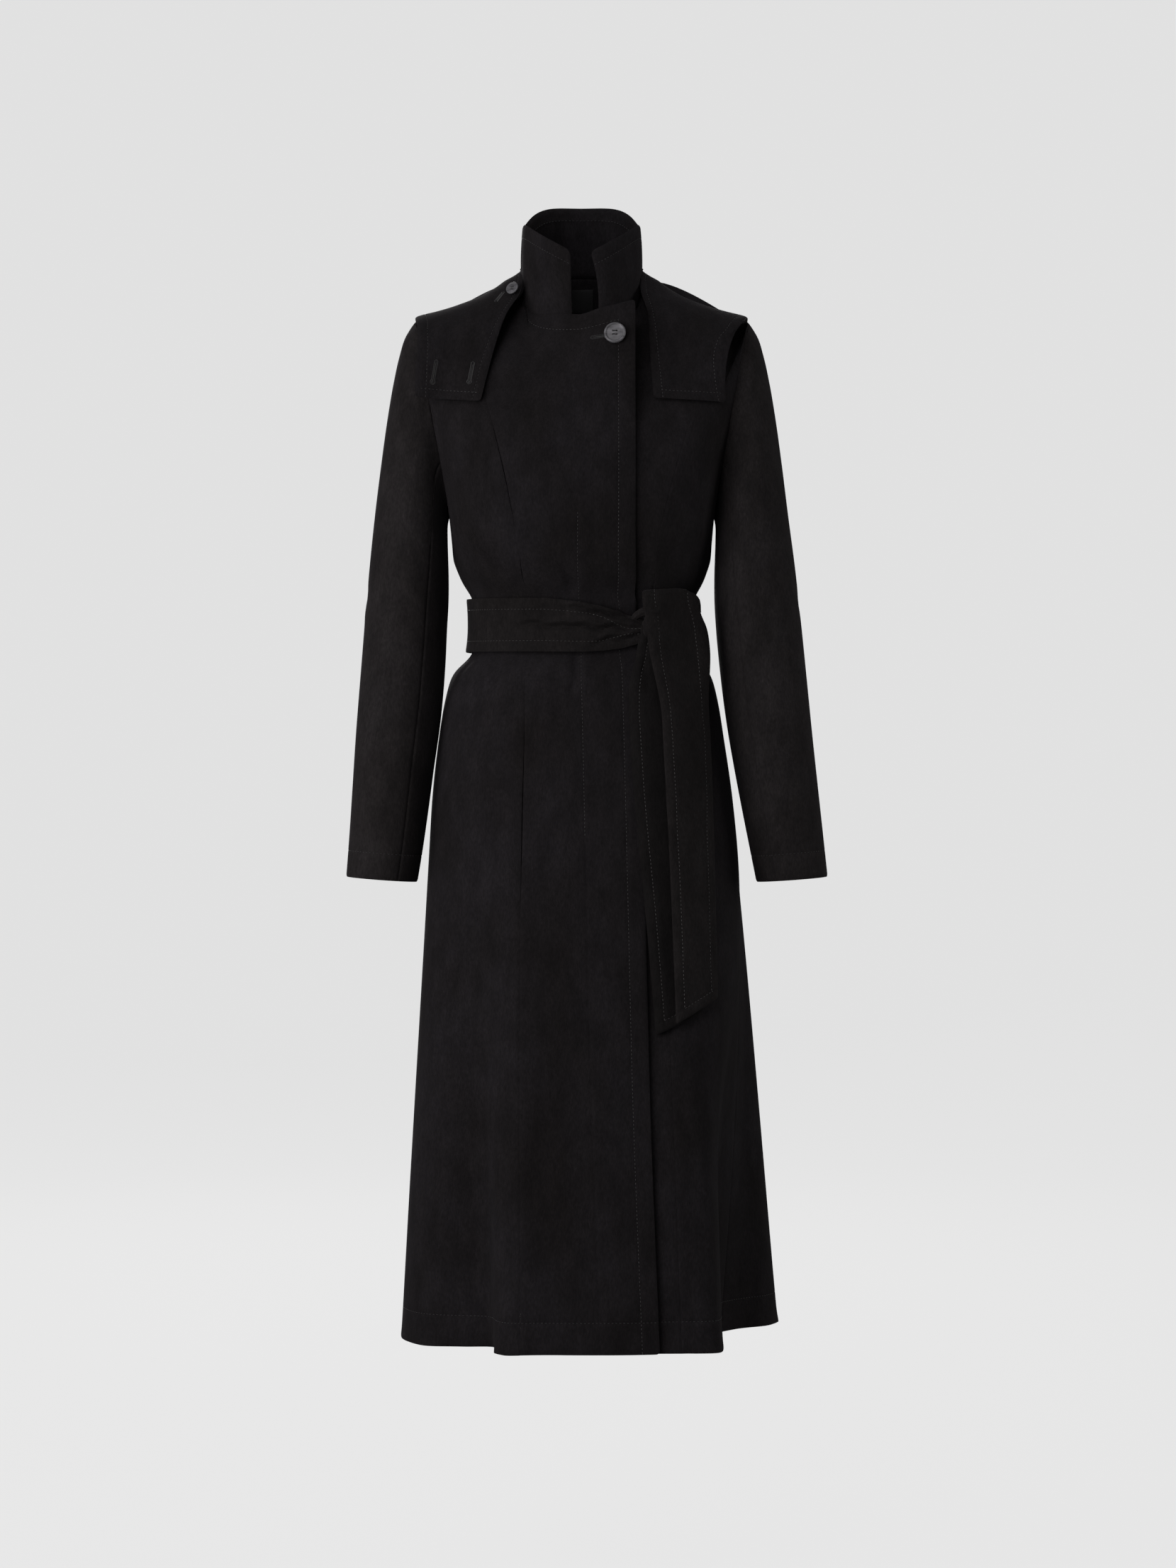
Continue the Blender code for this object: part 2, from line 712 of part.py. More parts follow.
def straighten_spans(ring):
    """Put every second point of a ring midway between its neighbours."""
    for step in range(1, len(ring), 2):
        ring[step] = (ring[step - 1] + ring[(step + 1) % len(ring)]) / 2


def collar_top(angle):
    radius = section_radius(angle, COLLAR_TOP_HALF_WIDTH, COLLAR_TOP_FRONT, COLLAR_TOP_BACK, 2)
    forward = math.cos(math.radians(angle))
    if forward > 0:
        z = blend(COLLAR_FRONT_Z, COLLAR_SIDE_Z, abs(math.sin(math.radians(angle))))
    else:
        z = blend(COLLAR_SIDE_Z, COLLAR_BACK_Z, ease(-forward))
    return Vector((UPPER_CENTRE, 0, z)) + outwards(angle) * radius


def make_collar(material):
    """Stand collar round the neck, open between its two front edges."""
    left_end = COLLAR_LEFT_END_BASE - 360
    steps = int(-left_end / COLLAR_STEP)
    angles = [COLLAR_RIGHT_END] + [-COLLAR_STEP * step for step in range(1, steps + 1)] + [left_end]
    grid = []
    normals = []
    for row in range(COLLAR_ROWS):
        t = row / (COLLAR_ROWS - 1)
        points = []
        line = []
        for angle in angles:
            near_end = ease(1 - (angle - left_end) / COLLAR_END_SPREAD)
            leaning = angle + (COLLAR_LEFT_END_TOP - COLLAR_LEFT_END_BASE) * near_end * t
            base = neck_seam(angle) + Vector((0, 0, SEAM_GAP))
            swell = outwards(leaning) * COLLAR_SWELL * math.sin(math.pi * t)
            points.append(blend(base, collar_top(leaning), t) + swell)
            line.append(outwards(leaning))
        grid.append(points)
        normals.append(line)
    return make_wall("collar", grid, moved(grid, normals, -DOUBLE_WALL), material)


def hood_sections(side):
    """Control points and lift of each hood section, flap end first."""
    sections = []
    for row in FLAPS[side]:
        neck = Vector((row.inner_x, FLAP_FRONT_Y, row.inner_z))
        face = Vector((row.outer_x, FLAP_FRONT_Y, row.outer_z))
        sections.append((neck, (neck + face) / 2, face, Vector((0, row.lift_y, row.lift_z))))
    for row in HOOD_BACK:
        neck = Vector((row.neck_x, row.neck_y, row.neck_z))
        mid = Vector((row.mid_x, row.mid_y, row.mid_z))
        face = Vector((row.face_x, row.face_y, row.face_z))
        sections.append((neck, mid, face, Vector((0, row.lift_y, row.lift_z))))
    return sections


def through(points, t):
    """Smooth curve through evenly spaced control points."""
    place = t * (len(points) - 1)
    slot = min(int(place), len(points) - 2)
    u = place - slot
    before = points[max(slot - 1, 0)]
    start = points[slot]
    end = points[slot + 1]
    after = points[min(slot + 2, len(points) - 1)]
    start_pull = (end - before) / 2
    end_pull = (after - start) / 2
    cubic = start_pull + end_pull - (end - start) * 2
    square = (end - start) * 3 - start_pull * 2 - end_pull
    return start + start_pull * u + square * u ** 2 + cubic * u ** 3


def make_hood(name, side, material, tree):
    """Hood half: front flap, fold over the shoulder and half of the hanging pouch behind."""
    sections = hood_sections(side)
    grid = []
    lifts = []
    for row in range(HOOD_ROWS):
        t = row / (HOOD_ROWS - 1)
        neck, mid, face, lift = (through([section[part] for section in sections], t) for part in range(4))
        line = []
        for column in range(HOOD_COLUMNS):
            w = column / (HOOD_COLUMNS - 1)
            point = neck * (1 - w) * (1 - 2 * w) + mid * 4 * w * (1 - w) + face * w * (2 * w - 1)
            line.append(sideways(side, point) + Vector((UPPER_CENTRE, 0, 0)))
        grid.append(line)
        lifts.append(lift)
    height = WALL + HOOD_CLEARANCE
    grid = lay_on(grid, lifts, tree, height)
    grid = lay_on(relax(grid, RELAX_PASSES), lifts, tree, height)
    normals = grid_normals(grid)
    if normals[0][0].dot(lifts[0]) < 0:
        normals = [[-normal for normal in line] for line in normals]
    for normal in normals[-1]:
        normal.x = 0
        normal.normalize()
    return make_wall(name, grid, moved(grid, normals, -WALL), material)


def make_belt(material):
    """Belt round the waist, from the coat's own points moved out, gathered at the knot."""
    inner = []
    outer = []
    for row in range(BELT_ROWS):
        share = row / (BELT_ROWS - 1) * 2 - 1
        near = []
        far = []
        for step in range(BELT_SIDES):
            angle = 360 * step / BELT_SIDES
            pinch = 1 - KNOT_PINCH * bump(turn_between(angle, KNOT_ANGLE) / KNOT_SPREAD)
            dip = BELT_DIP * max(0.0, math.cos(math.radians(angle)))
            z = BELT_Z - dip + BELT_HALF_HEIGHT * pinch * share
            point = coat_point(angle, z)
            near.append(point + outwards(angle) * LAP_GAP)
            far.append(point + outwards(angle) * (LAP_GAP + DOUBLE_WALL))
        inner.append(near)
        outer.append(far)
    return make_wall("belt_waist", outer, inner, material, closed=True)


def make_knot(material):
    """Bundle of belt cloth on the waist stretch, a rounded block that faces outwards."""
    half_x, half_y, half_z = KNOT_HALF_SIZE
    way = outwards(KNOT_ANGLE)
    along = Vector((way.y, -way.x, 0))
    belt_face = LAP_GAP + DOUBLE_WALL + CLEARANCE
    middle = coat_point(KNOT_ANGLE, BELT_Z) + way * (belt_face + half_y)
    shape = bmesh.new()
    bmesh.ops.create_uvsphere(shape, u_segments=KNOT_SIDES, v_segments=KNOT_ROWS, radius=1)
    for vertex in shape.verts:
        x, y, z = (math.copysign(abs(value) ** KNOT_SQUARENESS, value) for value in vertex.co)
        vertex.co = middle + along * x * half_x + way * y * half_y + Vector((0, 0, z * half_z))
    return make_object("belt_knot", shape, material)


def make_tail(name, table, top, end, material, tree):
    """Hanging belt end: a strip between two edges, laid in front of the coat."""
    grid = []
    lifts = []
    for row in range(TAIL_ROWS):
        t = row / (TAIL_ROWS - 1)
        line = []
        for column in range(TAIL_COLUMNS):
            share = column / (TAIL_COLUMNS - 1)
            z = blend(blend(top[0], top[1], share), blend(end[0], end[1], share), t)
            x = blend(table.at(z, "left_edge"), table.at(z, "right_edge"), share)
            reach = TRUNK.at(z, "centre_x") + TRUNK.at(z, "half_width") * TAIL_REACH
            front_y = coat_point(angle_at_x(min(x, reach), z), z).y
            line.append(Vector((x, front_y - table.at(z, "out") - DOUBLE_WALL, z)))
        grid.append(line)
        lifts.append(Vector((0, -1, 0)))
    height = DOUBLE_WALL + CLEARANCE
    grid = lay_on(grid, lifts, tree, height)
    grid = lay_on(relax(grid, RELAX_PASSES), lifts, tree, height)
    normals = grid_normals(grid)
    if normals[0][0].y > 0:
        normals = [[-normal for normal in line] for line in normals]
    return make_wall(name, grid, moved(grid, normals, -DOUBLE_WALL), material)


def make_button(name, radius, place, material, tree):
    """Dished round button on the cloth below it."""
    x, z = place
    hit, normal, _, _ = tree.ray_cast(Vector((x, -RAY_REACH, z)), Vector((0, 1, 0)))
    shape = bmesh.new()
    rings = []
    for share, height in BUTTON_PROFILE:
        ring = []
        for step in range(BUTTON_SIDES):
            turn = math.tau * step / BUTTON_SIDES
            ring.append(shape.verts.new(
                (share * radius * math.cos(turn), share * radius * math.sin(turn), height * radius)))
        rings.append(ring)
    for low, high in zip(rings, rings[1:]):
        for step in range(BUTTON_SIDES):
            following = (step + 1) % BUTTON_SIDES
            shape.faces.new((low[step], low[following], high[following], high[step]))
    shape.faces.new(rings[0])
    shape.faces.new(rings[-1])
    button = make_object(name, shape, material)
    facing = normal if normal.y < 0 else -normal
    button.rotation_euler = facing.to_track_quat("Z", "Y").to_euler()
    button.location = hit + facing * CLEARANCE
    return button


def make_label(material, tree):
    """Bare label on the inside of the back, below the neck seam."""
    grid = []
    for row in range(LABEL_CELLS):
        z = LABEL_TOP_Z - LABEL_DROP * row / (LABEL_CELLS - 1)
        line = []
        for column in range(LABEL_CELLS):
            x = LABEL_X + LABEL_HALF_WIDTH * (column / (LABEL_CELLS - 1) * 2 - 1)
            hit = tree.ray_cast(Vector((x, 0, z)), Vector((0, 1, 0)))[0]
            line.append(hit - Vector((0, LAP_GAP, 0)))
        grid.append(line)
    front = [[point - Vector((0, LABEL_WALL, 0)) for point in row] for row in grid]
    return make_wall("neck_label", front, grid, material)


def build_coat():
    """Make every piece and hang it on one empty at the neck."""
    for old in list(bpy.data.objects):
        bpy.data.objects.remove(old, do_unlink=True)
    wool = make_material("coat_wool", (0.012, 0.012, 0.014), 0.92)
    belt_wool = make_material("belt_wool", (0.013, 0.013, 0.015), 0.90)
    horn = make_material("button_horn", (0.030, 0.030, 0.032), 0.35)
    tape = make_material("label_tape", (0.006, 0.006, 0.008), 0.55)
    panels = [
        make_panel("right_side_front", seam_angles("right_side", "right_seam"),
                   ((-SHOULDER_ANGLE, ARMHOLE_SPANS), (None, SHOULDER_SPANS)), wool),
        make_panel("right_front", seam_angles("right_seam", "front_edge"),
                   ((-NECK_ANGLE, 1), (0, NECK_SPANS), (None, LAP_SPANS)), wool, top=lap_top),
        make_panel("left_front", seam_angles("under_edge", "left_seam"),
                   ((0, 1), (NECK_ANGLE, NECK_SPANS), (None, 1)), wool, inset=under_lap),
        make_panel("left_side_front", seam_angles("left_seam", "left_side"),
                   ((SHOULDER_ANGLE, SHOULDER_SPANS), (None, ARMHOLE_SPANS)), wool),
        make_panel("back", back_edges, back_stops(), wool),
    ]
    sleeves = [make_sleeve("right_sleeve", RIGHT, wool), make_sleeve("left_sleeve", LEFT, wool)]
    collar = make_collar(wool)
    body_tree = surface_tree(panels + sleeves + [collar])
    hood_right = make_hood("hood_right", RIGHT, wool, body_tree)
    hood_left = make_hood("hood_left", LEFT, wool, body_tree)
    belt = make_belt(belt_wool)
    knot = make_knot(belt_wool)
    below = panels + [belt, knot]
    back_tail = make_tail("belt_tail_back", BACK_TAIL, BACK_TAIL_TOP, BACK_TAIL_END, belt_wool,
                          surface_tree(below))
    front_tail = make_tail("belt_tail_front", FRONT_TAIL, FRONT_TAIL_TOP, FRONT_TAIL_END, belt_wool,
                           surface_tree(below + [back_tail]))
    button_front = make_button("button_front", BUTTON_FRONT_RADIUS, BUTTON_FRONT_PLACE, horn,
                               surface_tree(panels))
    button_collar = make_button("button_collar", BUTTON_COLLAR_RADIUS, BUTTON_COLLAR_PLACE, horn,
                                surface_tree([hood_right]))
    label = make_label(tape, surface_tree([panels[-1]]))
    root = bpy.data.objects.new("coat", None)
    bpy.context.scene.collection.objects.link(root)
    pieces = panels + sleeves + [collar, hood_right, hood_left, belt, knot, back_tail, front_tail]
    for piece in pieces + [button_front, button_collar, label]:
        piece.parent = root


build_coat()
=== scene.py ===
"""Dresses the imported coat: fine cloth with seams and creases, stitching, buttons and buttonholes."""

import json
import math
from collections import namedtuple

import bmesh
import bpy
import numpy as np
from mathutils import Matrix, Vector
from mathutils.bvhtree import BVHTree

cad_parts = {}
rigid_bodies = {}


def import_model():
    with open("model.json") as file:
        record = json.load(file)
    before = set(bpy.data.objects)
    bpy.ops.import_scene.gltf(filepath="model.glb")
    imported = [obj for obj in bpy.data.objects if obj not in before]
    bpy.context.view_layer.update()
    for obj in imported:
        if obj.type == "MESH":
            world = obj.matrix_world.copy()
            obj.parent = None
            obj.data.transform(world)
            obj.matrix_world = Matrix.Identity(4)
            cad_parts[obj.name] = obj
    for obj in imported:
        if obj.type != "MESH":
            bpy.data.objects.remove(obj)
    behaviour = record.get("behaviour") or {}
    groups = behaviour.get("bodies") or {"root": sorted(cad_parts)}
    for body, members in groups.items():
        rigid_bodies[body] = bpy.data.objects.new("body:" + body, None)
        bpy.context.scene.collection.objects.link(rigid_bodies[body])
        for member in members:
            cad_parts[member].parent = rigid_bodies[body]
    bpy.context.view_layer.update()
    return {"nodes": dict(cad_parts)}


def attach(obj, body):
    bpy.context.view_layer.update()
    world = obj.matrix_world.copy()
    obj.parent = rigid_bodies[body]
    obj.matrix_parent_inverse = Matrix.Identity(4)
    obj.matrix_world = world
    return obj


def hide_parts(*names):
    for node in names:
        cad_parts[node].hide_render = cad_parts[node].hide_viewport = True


for leftover in list(bpy.data.objects):
    bpy.data.objects.remove(leftover, do_unlink=True)
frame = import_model()

BODY = "root"
SHARP_FOLD = math.radians(55)   # sharper edges are not shaded smooth
SHARP_HORN = math.radians(40)

# Camera and room
CAMERA_PLACE = (0.0012, -4.2, -0.550)
LENS = 86.55
SENSOR = 36.0
ROOM_FLOOR_Z = -1.46
ROOM_RADIUS = 7.0
ROOM_BEND = 2.5
ROOM_HEIGHT = 7.0
ROOM_SIDES = 96
ROOM_BEND_STEPS = 16
ROOM_FLOOR_RINGS = (1.5, 3.0)
ROOM_GLOW = 0.745
WORLD_GLOW = 0.09

# Cloth
WALL = 0.0026
DOUBLE_WALL = 0.0044
LABEL_WALL = 0.0010
CELL = 0.0052           # size of the fine cloth's cells
BELT_CELL = 0.0016      # across the belt, for its sharp pleats
EDGE_LINES = (0.0, 0.0013, 0.0034)          # insets of the lines that round an edge
EDGE_PULL = (0.00085, 0.00030, 0.0)         # how far each of them is drawn in
STITCH_LINES = (-0.0012, 0.0, 0.0012)       # lines of points on and beside a stitch line
STITCH_SINK = 0.00045
SEAM_SINK = 0.0009
HEM_EXTRA = 0.0006      # turned-up cloth behind a hem
SMOOTH_SHARE = 0.5      # of the way to the neighbours' middle in one pass of smoothing
PANEL_PASSES = 40
HOOD_PASSES = 60
HOOD_RIM_PASSES = 60

# Stitches
STITCH_PITCH = 0.0042
STITCH_LENGTH = 0.0024
STITCH_RADIUS = 0.00034


def named_rows(columns, rows):
    """A table as rows whose values are read by column name."""
    row_type = namedtuple("Row", columns)
    return [row_type(*row) for row in rows]


# Materials

class Look:
    """One procedural material, built node by node."""

    def __init__(self, name):
        self.material = bpy.data.materials.new(name)
        self.material.use_nodes = True
        self.tree = self.material.node_tree
        self.place = self.tree.nodes.new("ShaderNodeTexCoord").outputs["Object"]

    def feed(self, node, inputs):
        """Give each input its value, or link it to the output that feeds it."""
        for name, value in inputs.items():
            if isinstance(value, bpy.types.NodeSocket):
                self.tree.links.new(value, node.inputs[name])
            else:
                node.inputs[name].default_value = value

    def node(self, kind, inputs, **settings):
        node = self.tree.nodes.new(kind)
        for name, value in settings.items():
            setattr(node, name, value)
        self.feed(node, inputs)
        return node

    def noise(self, scale, detail, stretch=(1, 1, 1)):
        spread = self.node("ShaderNodeMapping", {"Vector": self.place, "Scale": stretch})
        inputs = {"Vector": spread.outputs["Vector"], "Scale": scale, "Detail": detail}
        return self.node("ShaderNodeTexNoise", inputs).outputs["Fac"]

    def ramp(self, source, low, high, dark, light):
        node = self.node("ShaderNodeValToRGB", {"Fac": source})
        for element, position, colour in zip(node.color_ramp.elements, (low, high), (dark, light)):
            element.position = position
            element.color = (*colour, 1)
        return node.outputs["Color"]

    def multiply(self, first, second):
        inputs = {"Factor": 1.0, "A": first, "B": second}
        node = self.node("ShaderNodeMix", inputs, data_type="RGBA", blend_type="MULTIPLY")
        return node.outputs["Result"]

    def bump(self, source, distance, strength, **below):
        inputs = {"Height": source, "Distance": distance, "Strength": strength, **below}
        return self.node("ShaderNodeBump", inputs).outputs["Normal"]

    def finish(self, inputs):
        self.feed(self.tree.nodes["Principled BSDF"], inputs)
        return self.material


WOOL_LAYERS = named_rows("name scale detail stretch low high dark light", [
    ("strokes", 62.0, 4.0, 0.45, 0.32, 0.70, 0.80, 1.22),
    ("flecks", 330.0, 5.0, 0.50, 0.35, 0.75, 0.84, 1.20),
    ("fibres", 950.0, 4.0, 0.25, 0.30, 0.72, 0.72, 1.26),
])


def wool_material(name, dark, light, sheen):
    """Brushed wool: the nap lies in soft patches over fine fibres that run down the cloth."""
    look = Look(name)
    colour = look.ramp(look.noise(scale=13.0, detail=4.0, stretch=(1, 1, 0.6)), 0.34, 0.66, dark, light)
    layers = {}
    for row in WOOL_LAYERS:
        layers[row.name] = look.noise(row.scale, row.detail, (1, 1, row.stretch))
        shade = look.ramp(layers[row.name], row.low, row.high, (row.dark,) * 3, (row.light,) * 3)
        colour = look.multiply(colour, shade)
    normal = look.bump(look.noise(scale=2100.0, detail=2.0), distance=0.0003, strength=0.20)
    normal = look.bump(layers["fibres"], distance=0.0006, strength=0.30, Normal=normal)
    normal = look.bump(layers["strokes"], distance=0.0012, strength=0.25, Normal=normal)
    return look.finish({"Base Color": colour, "Normal": normal, "Roughness": 0.92,
                        "Specular IOR Level": 0.15, "Sheen Weight": sheen, "Sheen Roughness": 0.45,
                        "Sheen Tint": (0.44, 0.41, 0.44, 1)})


def thread_material(name, dark, light):
    """Twisted sewing thread."""
    look = Look(name)
    twist = look.noise(scale=1600.0, detail=2.0)
    return look.finish({"Base Color": look.ramp(twist, 0.3, 0.7, dark, light),
                        "Normal": look.bump(twist, distance=0.0002, strength=0.4), "Roughness": 0.55,
                        "Sheen Weight": 0.2})


def horn_material(name, dark, light):
    """Grey horn with faint streaks and a satin polish."""
    look = Look(name)
    streaks = look.noise(scale=260.0, detail=5.0, stretch=(0.35, 1, 1))
    scuffs = look.noise(scale=1500.0, detail=2.0)
    return look.finish({"Base Color": look.ramp(streaks, 0.35, 0.70, dark, light),
                        "Roughness": look.ramp(scuffs, 0.3, 0.7, (0.32,) * 3, (0.48,) * 3),
                        "Normal": look.bump(scuffs, distance=0.0001, strength=0.1)})


def tape_material(name, dark, light):
    """Tightly woven label tape with fine crosswise ribs."""
    look = Look(name)
    inputs = {"Vector": look.place, "Scale": 700.0, "Distortion": 0.6}
    ribs = look.node("ShaderNodeTexWave", inputs, bands_direction="Z").outputs["Fac"]
    return look.finish({"Base Color": look.ramp(ribs, 0.2, 0.8, dark, light),
                        "Normal": look.bump(ribs, distance=0.0002, strength=0.3), "Roughness": 0.6})


def paper_material(name, dark, light, glow):
    """Pale studio paper with a faint unevenness."""
    look = Look(name)
    mottle = look.noise(scale=0.8, detail=2.0)
    return look.finish({"Base Color": look.ramp(mottle, 0.2, 0.8, dark, light), "Roughness": 0.95,
                        "Emission Color": (1, 1, 1, 1), "Emission Strength": glow})


COAT_WOOL = wool_material("coat_wool_cloth", (0.0099, 0.0084, 0.0088), (0.0150, 0.0133, 0.0152), 0.06)
# The sleeves get a lighter copy of the same coat wool: painted light, for the brighter light that falls on
# them
SLEEVE_LIT_WOOL = wool_material("sleeve_wool_cloth", (0.0142, 0.0122, 0.0122), (0.0208, 0.0184, 0.0190), 0.08)
BELT_WOOL = wool_material("belt_wool_cloth", (0.0098, 0.0084, 0.0083), (0.0142, 0.0124, 0.0125), 0.06)
# The belt's back end gets a darker copy of the belt wool: painted shade, for the shadow it lies in between
# the front end and the coat
BELT_END_SHADED_WOOL = wool_material("belt_end_wool_cloth", (0.0064, 0.0055, 0.0055), (0.0092, 0.0081, 0.0082),
                              0.04)
THREAD = thread_material("coat_thread", (0.012, 0.0115, 0.012), (0.030, 0.029, 0.030))
BELT_THREAD = thread_material("belt_thread", (0.020, 0.019, 0.019), (0.050, 0.048, 0.047))
DARK_THREAD = thread_material("button_thread", (0.006, 0.006, 0.006), (0.016, 0.016, 0.017))
# The buttonhole slits are near-black sheets laid on the cloth: painted shade, for the dark gap of each slit
SLIT_SHADE = thread_material("buttonhole_slit", (0.0010, 0.0010, 0.0011), (0.0018, 0.0018, 0.0019))
HORN = horn_material("button_horn_streaked", (0.070, 0.069, 0.074), (0.190, 0.187, 0.200))
TAPE = tape_material("label_tape_woven", (0.0030, 0.0030, 0.0034), (0.0070, 0.0070, 0.0076))
PAPER = paper_material("studio_paper", (0.05,) * 3, (0.052,) * 3, ROOM_GLOW)


# Lines, grids and meshes

NO_AREA = 1e-12         # guards against dividing by nothing
NO_LENGTH = 1e-16


def run_of(points, axis=0):
    """Length walked along one axis of a line or grid of points, from its start."""
    lengths = np.linalg.norm(np.diff(points, axis=axis), axis=-1)
    start = np.zeros_like(np.take(lengths, [0], axis=axis))
    return np.concatenate([start, np.cumsum(lengths, axis=axis)], axis=axis)


def unit(vectors):
    return vectors / np.linalg.norm(vectors, axis=-1, keepdims=True)


def step(value, low, high):
    """Smooth rise from 0 to 1 between two values."""
    share = np.clip((value - low) / (high - low), 0, 1)
    return share * share * (3 - 2 * share)


def to_middle(points):
    """Way from each inner point of a grid to the middle of its four neighbours."""
    around = (points[:-2, 1:-1] + points[2:, 1:-1] + points[1:-1, :-2] + points[1:-1, 2:]) / 4
    return around - points[1:-1, 1:-1]


def add_object(name, mesh, material):
    mesh.materials.append(material)
    mesh.shade_smooth()
    mesh.set_sharp_from_angle(angle=SHARP_FOLD)
    made = bpy.data.objects.new(name, mesh)
    bpy.context.scene.collection.objects.link(made)
    return made


def add_mesh(name, verts, faces, material):
    mesh = bpy.data.meshes.new(name)
    mesh.from_pydata(verts.tolist(), [], faces)
    return add_object(name, mesh, material)


def add_shape(name, shape, material):
    """Object from a finished bmesh, which is freed."""
    mesh = bpy.data.meshes.new(name)
    shape.to_mesh(mesh)
    shape.free()
    return add_object(name, mesh, material)


def circle(radius, height, sides):
    turns = [math.tau * k / sides for k in range(sides)]
    return [(radius * math.cos(turn), radius * math.sin(turn), height) for turn in turns]


def join_rings(shape, rings):
    """Faces between rings of points; a ring of one point is an end."""
    for low, high in zip(rings, rings[1:]):
        count = max(len(low), len(high))
        for k in range(count):
            ahead = (k + 1) % count
            below = [low[k % len(low)], low[ahead % len(low)]]
            above = [high[ahead % len(high)], high[k % len(high)]]
            shape.faces.new(list(dict.fromkeys(below + above)))


def carry(made, slot, *nodes):
    """Tie a made piece to the coat's one body."""
    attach(made, BODY)
    if nodes:
        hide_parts(*nodes)


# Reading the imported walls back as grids

WELD = 2e-6
CORNER_TURN = -0.6      # cosine above which the rim turns a corner


def outer_triangles(node, wall, facing, slack):
    """Corner points and outer-face triangles of a packed wall; the rim joins points one wall apart."""
    shape = bmesh.new()
    shape.from_mesh(node.data)
    bmesh.ops.remove_doubles(shape, verts=shape.verts, dist=WELD)
    bmesh.ops.triangulate(shape, faces=shape.faces)
    shape.normal_update()
    shape.verts.index_update()
    for face in shape.faces:
        face.tag = all(abs(edge.calc_length() - wall) > slack * wall for edge in face.edges)
    groups = []
    seen = set()
    for first in shape.faces:
        if not first.tag or first in seen:
            continue
        seen.add(first)
        group = [first]
        for face in group:
            for edge in face.edges:
                for other in edge.link_faces:
                    if other.tag and other not in seen:
                        seen.add(other)
                        group.append(other)
        groups.append(group)
    groups = sorted(groups, key=len)[-2:]
    outer = max(groups, key=lambda group: sum(face.normal.dot(facing(face.calc_center_median()))
                                              * face.calc_area() for face in group))
    points = np.array([vertex.co for vertex in shape.verts])
    triangles = [tuple(vertex.index for vertex in face.verts) for face in outer]
    shape.free()
    return points, triangles


def grid_of(node, wall, facing, near, slack):
    """The outer face as rows of points, walked cell by cell whatever way its cells were cut."""
    points, triangles = outer_triangles(node, wall, facing, slack)
    third = {}
    for a, b, c in triangles:
        third[a, b] = c
        third[b, c] = a
        third[c, a] = b
    following = {a: b for (a, b) in third if (b, a) not in third}
    before = {b: a for a, b in following.items()}
    if near is None:
        return points[walk_ring(points, third, following)]
    corner = start_corner(points, following, before, near)
    return points[walk_sheet(third, following, before, corner)]


def start_corner(points, following, before, near):
    """Sharp corner of the rim nearest to a place: the lower left one, seen from outside."""
    corners = []
    for here in following:
        ahead = points[following[here]] - points[here]
        behind = points[before[here]] - points[here]
        if unit(ahead) @ unit(behind) > CORNER_TURN:
            corners.append(here)
    return min(corners, key=lambda here: np.linalg.norm(points[here] - np.array(near)))


def far_corner(third, a, b, c):
    """Fourth corner of the cell on a-b beside c."""
    top = third[a, b]
    if top == c:
        return third[c, b]
    return top


def walk_sheet(third, following, before, corner):
    """Index grid of an open sheet, from a corner; rows run along the rim's direction."""
    rows = [[corner]]
    upper = [before[corner]]
    a = corner
    while True:
        b = following[a]
        if b == upper[-1]:
            break
        rows[0].append(b)
        upper.append(far_corner(third, a, b, upper[-1]))
        a = b
    while True:
        rows.append(upper)
        start = before[upper[0]]
        if start == upper[1]:
            return np.array(rows)
        upper = [start]
        for a, b in zip(rows[-1], rows[-1][1:]):
            upper.append(far_corner(third, a, b, upper[-1]))


def walk_ring(points, third, following):
    """Index grid of a tube, ring by ring from its higher end."""
    loops = []
    unseen = set(following)
    while unseen:
        loop = [min(unseen)]
        while following[loop[-1]] != loop[0]:
            loop.append(following[loop[-1]])
        unseen -= set(loop)
        loops.append(loop)
    ring = max(loops, key=lambda loop: points[loop][:, 2].mean())
    rings = [ring]
    while (ring[0], ring[1]) in third:
        top = third[ring[0], ring[1]]
        tries = [next_ring(third, ring, start) for start in (top, third.get((ring[0], top)))]
        ring = min((upper for upper in tries if upper is not None),
                   key=lambda upper: np.linalg.norm(points[upper] - points[ring], axis=1).sum())
        rings.append(ring)
    return np.array(rings)


def next_ring(third, ring, start):
    """Ring above a ring if start stands above its first point, else nothing."""
    upper = [start]
    for a, b in zip(ring, ring[1:] + ring[:1]):
        if (a, b) not in third or (third[a, b] == upper[-1] and (upper[-1], b) not in third):
            return None
        upper.append(far_corner(third, a, b, upper[-1]))
    if upper.pop() != start or len(set(upper)) < len(ring):
        return None
    return upper


# Fine cloth

def spline(points, knots, at):
    """Smooth curve through points at knots, read at many places."""
    steps = np.diff(knots)[:, None]
    slopes = np.diff(points, axis=0) / steps
    tangents = np.empty_like(points)
    tangents[1:-1] = (steps[:-1] * slopes[1:] + steps[1:] * slopes[:-1]) / (steps[:-1] + steps[1:])
    tangents[0] = 2 * slopes[0] - tangents[1] if len(points) > 2 else slopes[0]
    tangents[-1] = 2 * slopes[-1] - tangents[-2] if len(points) > 2 else slopes[-1]
    slot = np.clip(np.searchsorted(knots, at, side="right") - 1, 0, len(steps) - 1)
    t = ((at - knots[slot]) / steps[slot, 0])[:, None]
    start = points[slot]
    rise = points[slot + 1] - start
    pull = tangents[slot] * steps[slot]
    late = tangents[slot + 1] * steps[slot]
    return start + t * (pull + t * (3 * rise - 2 * pull - late + t * (pull + late - 2 * rise)))


WRAP = 3


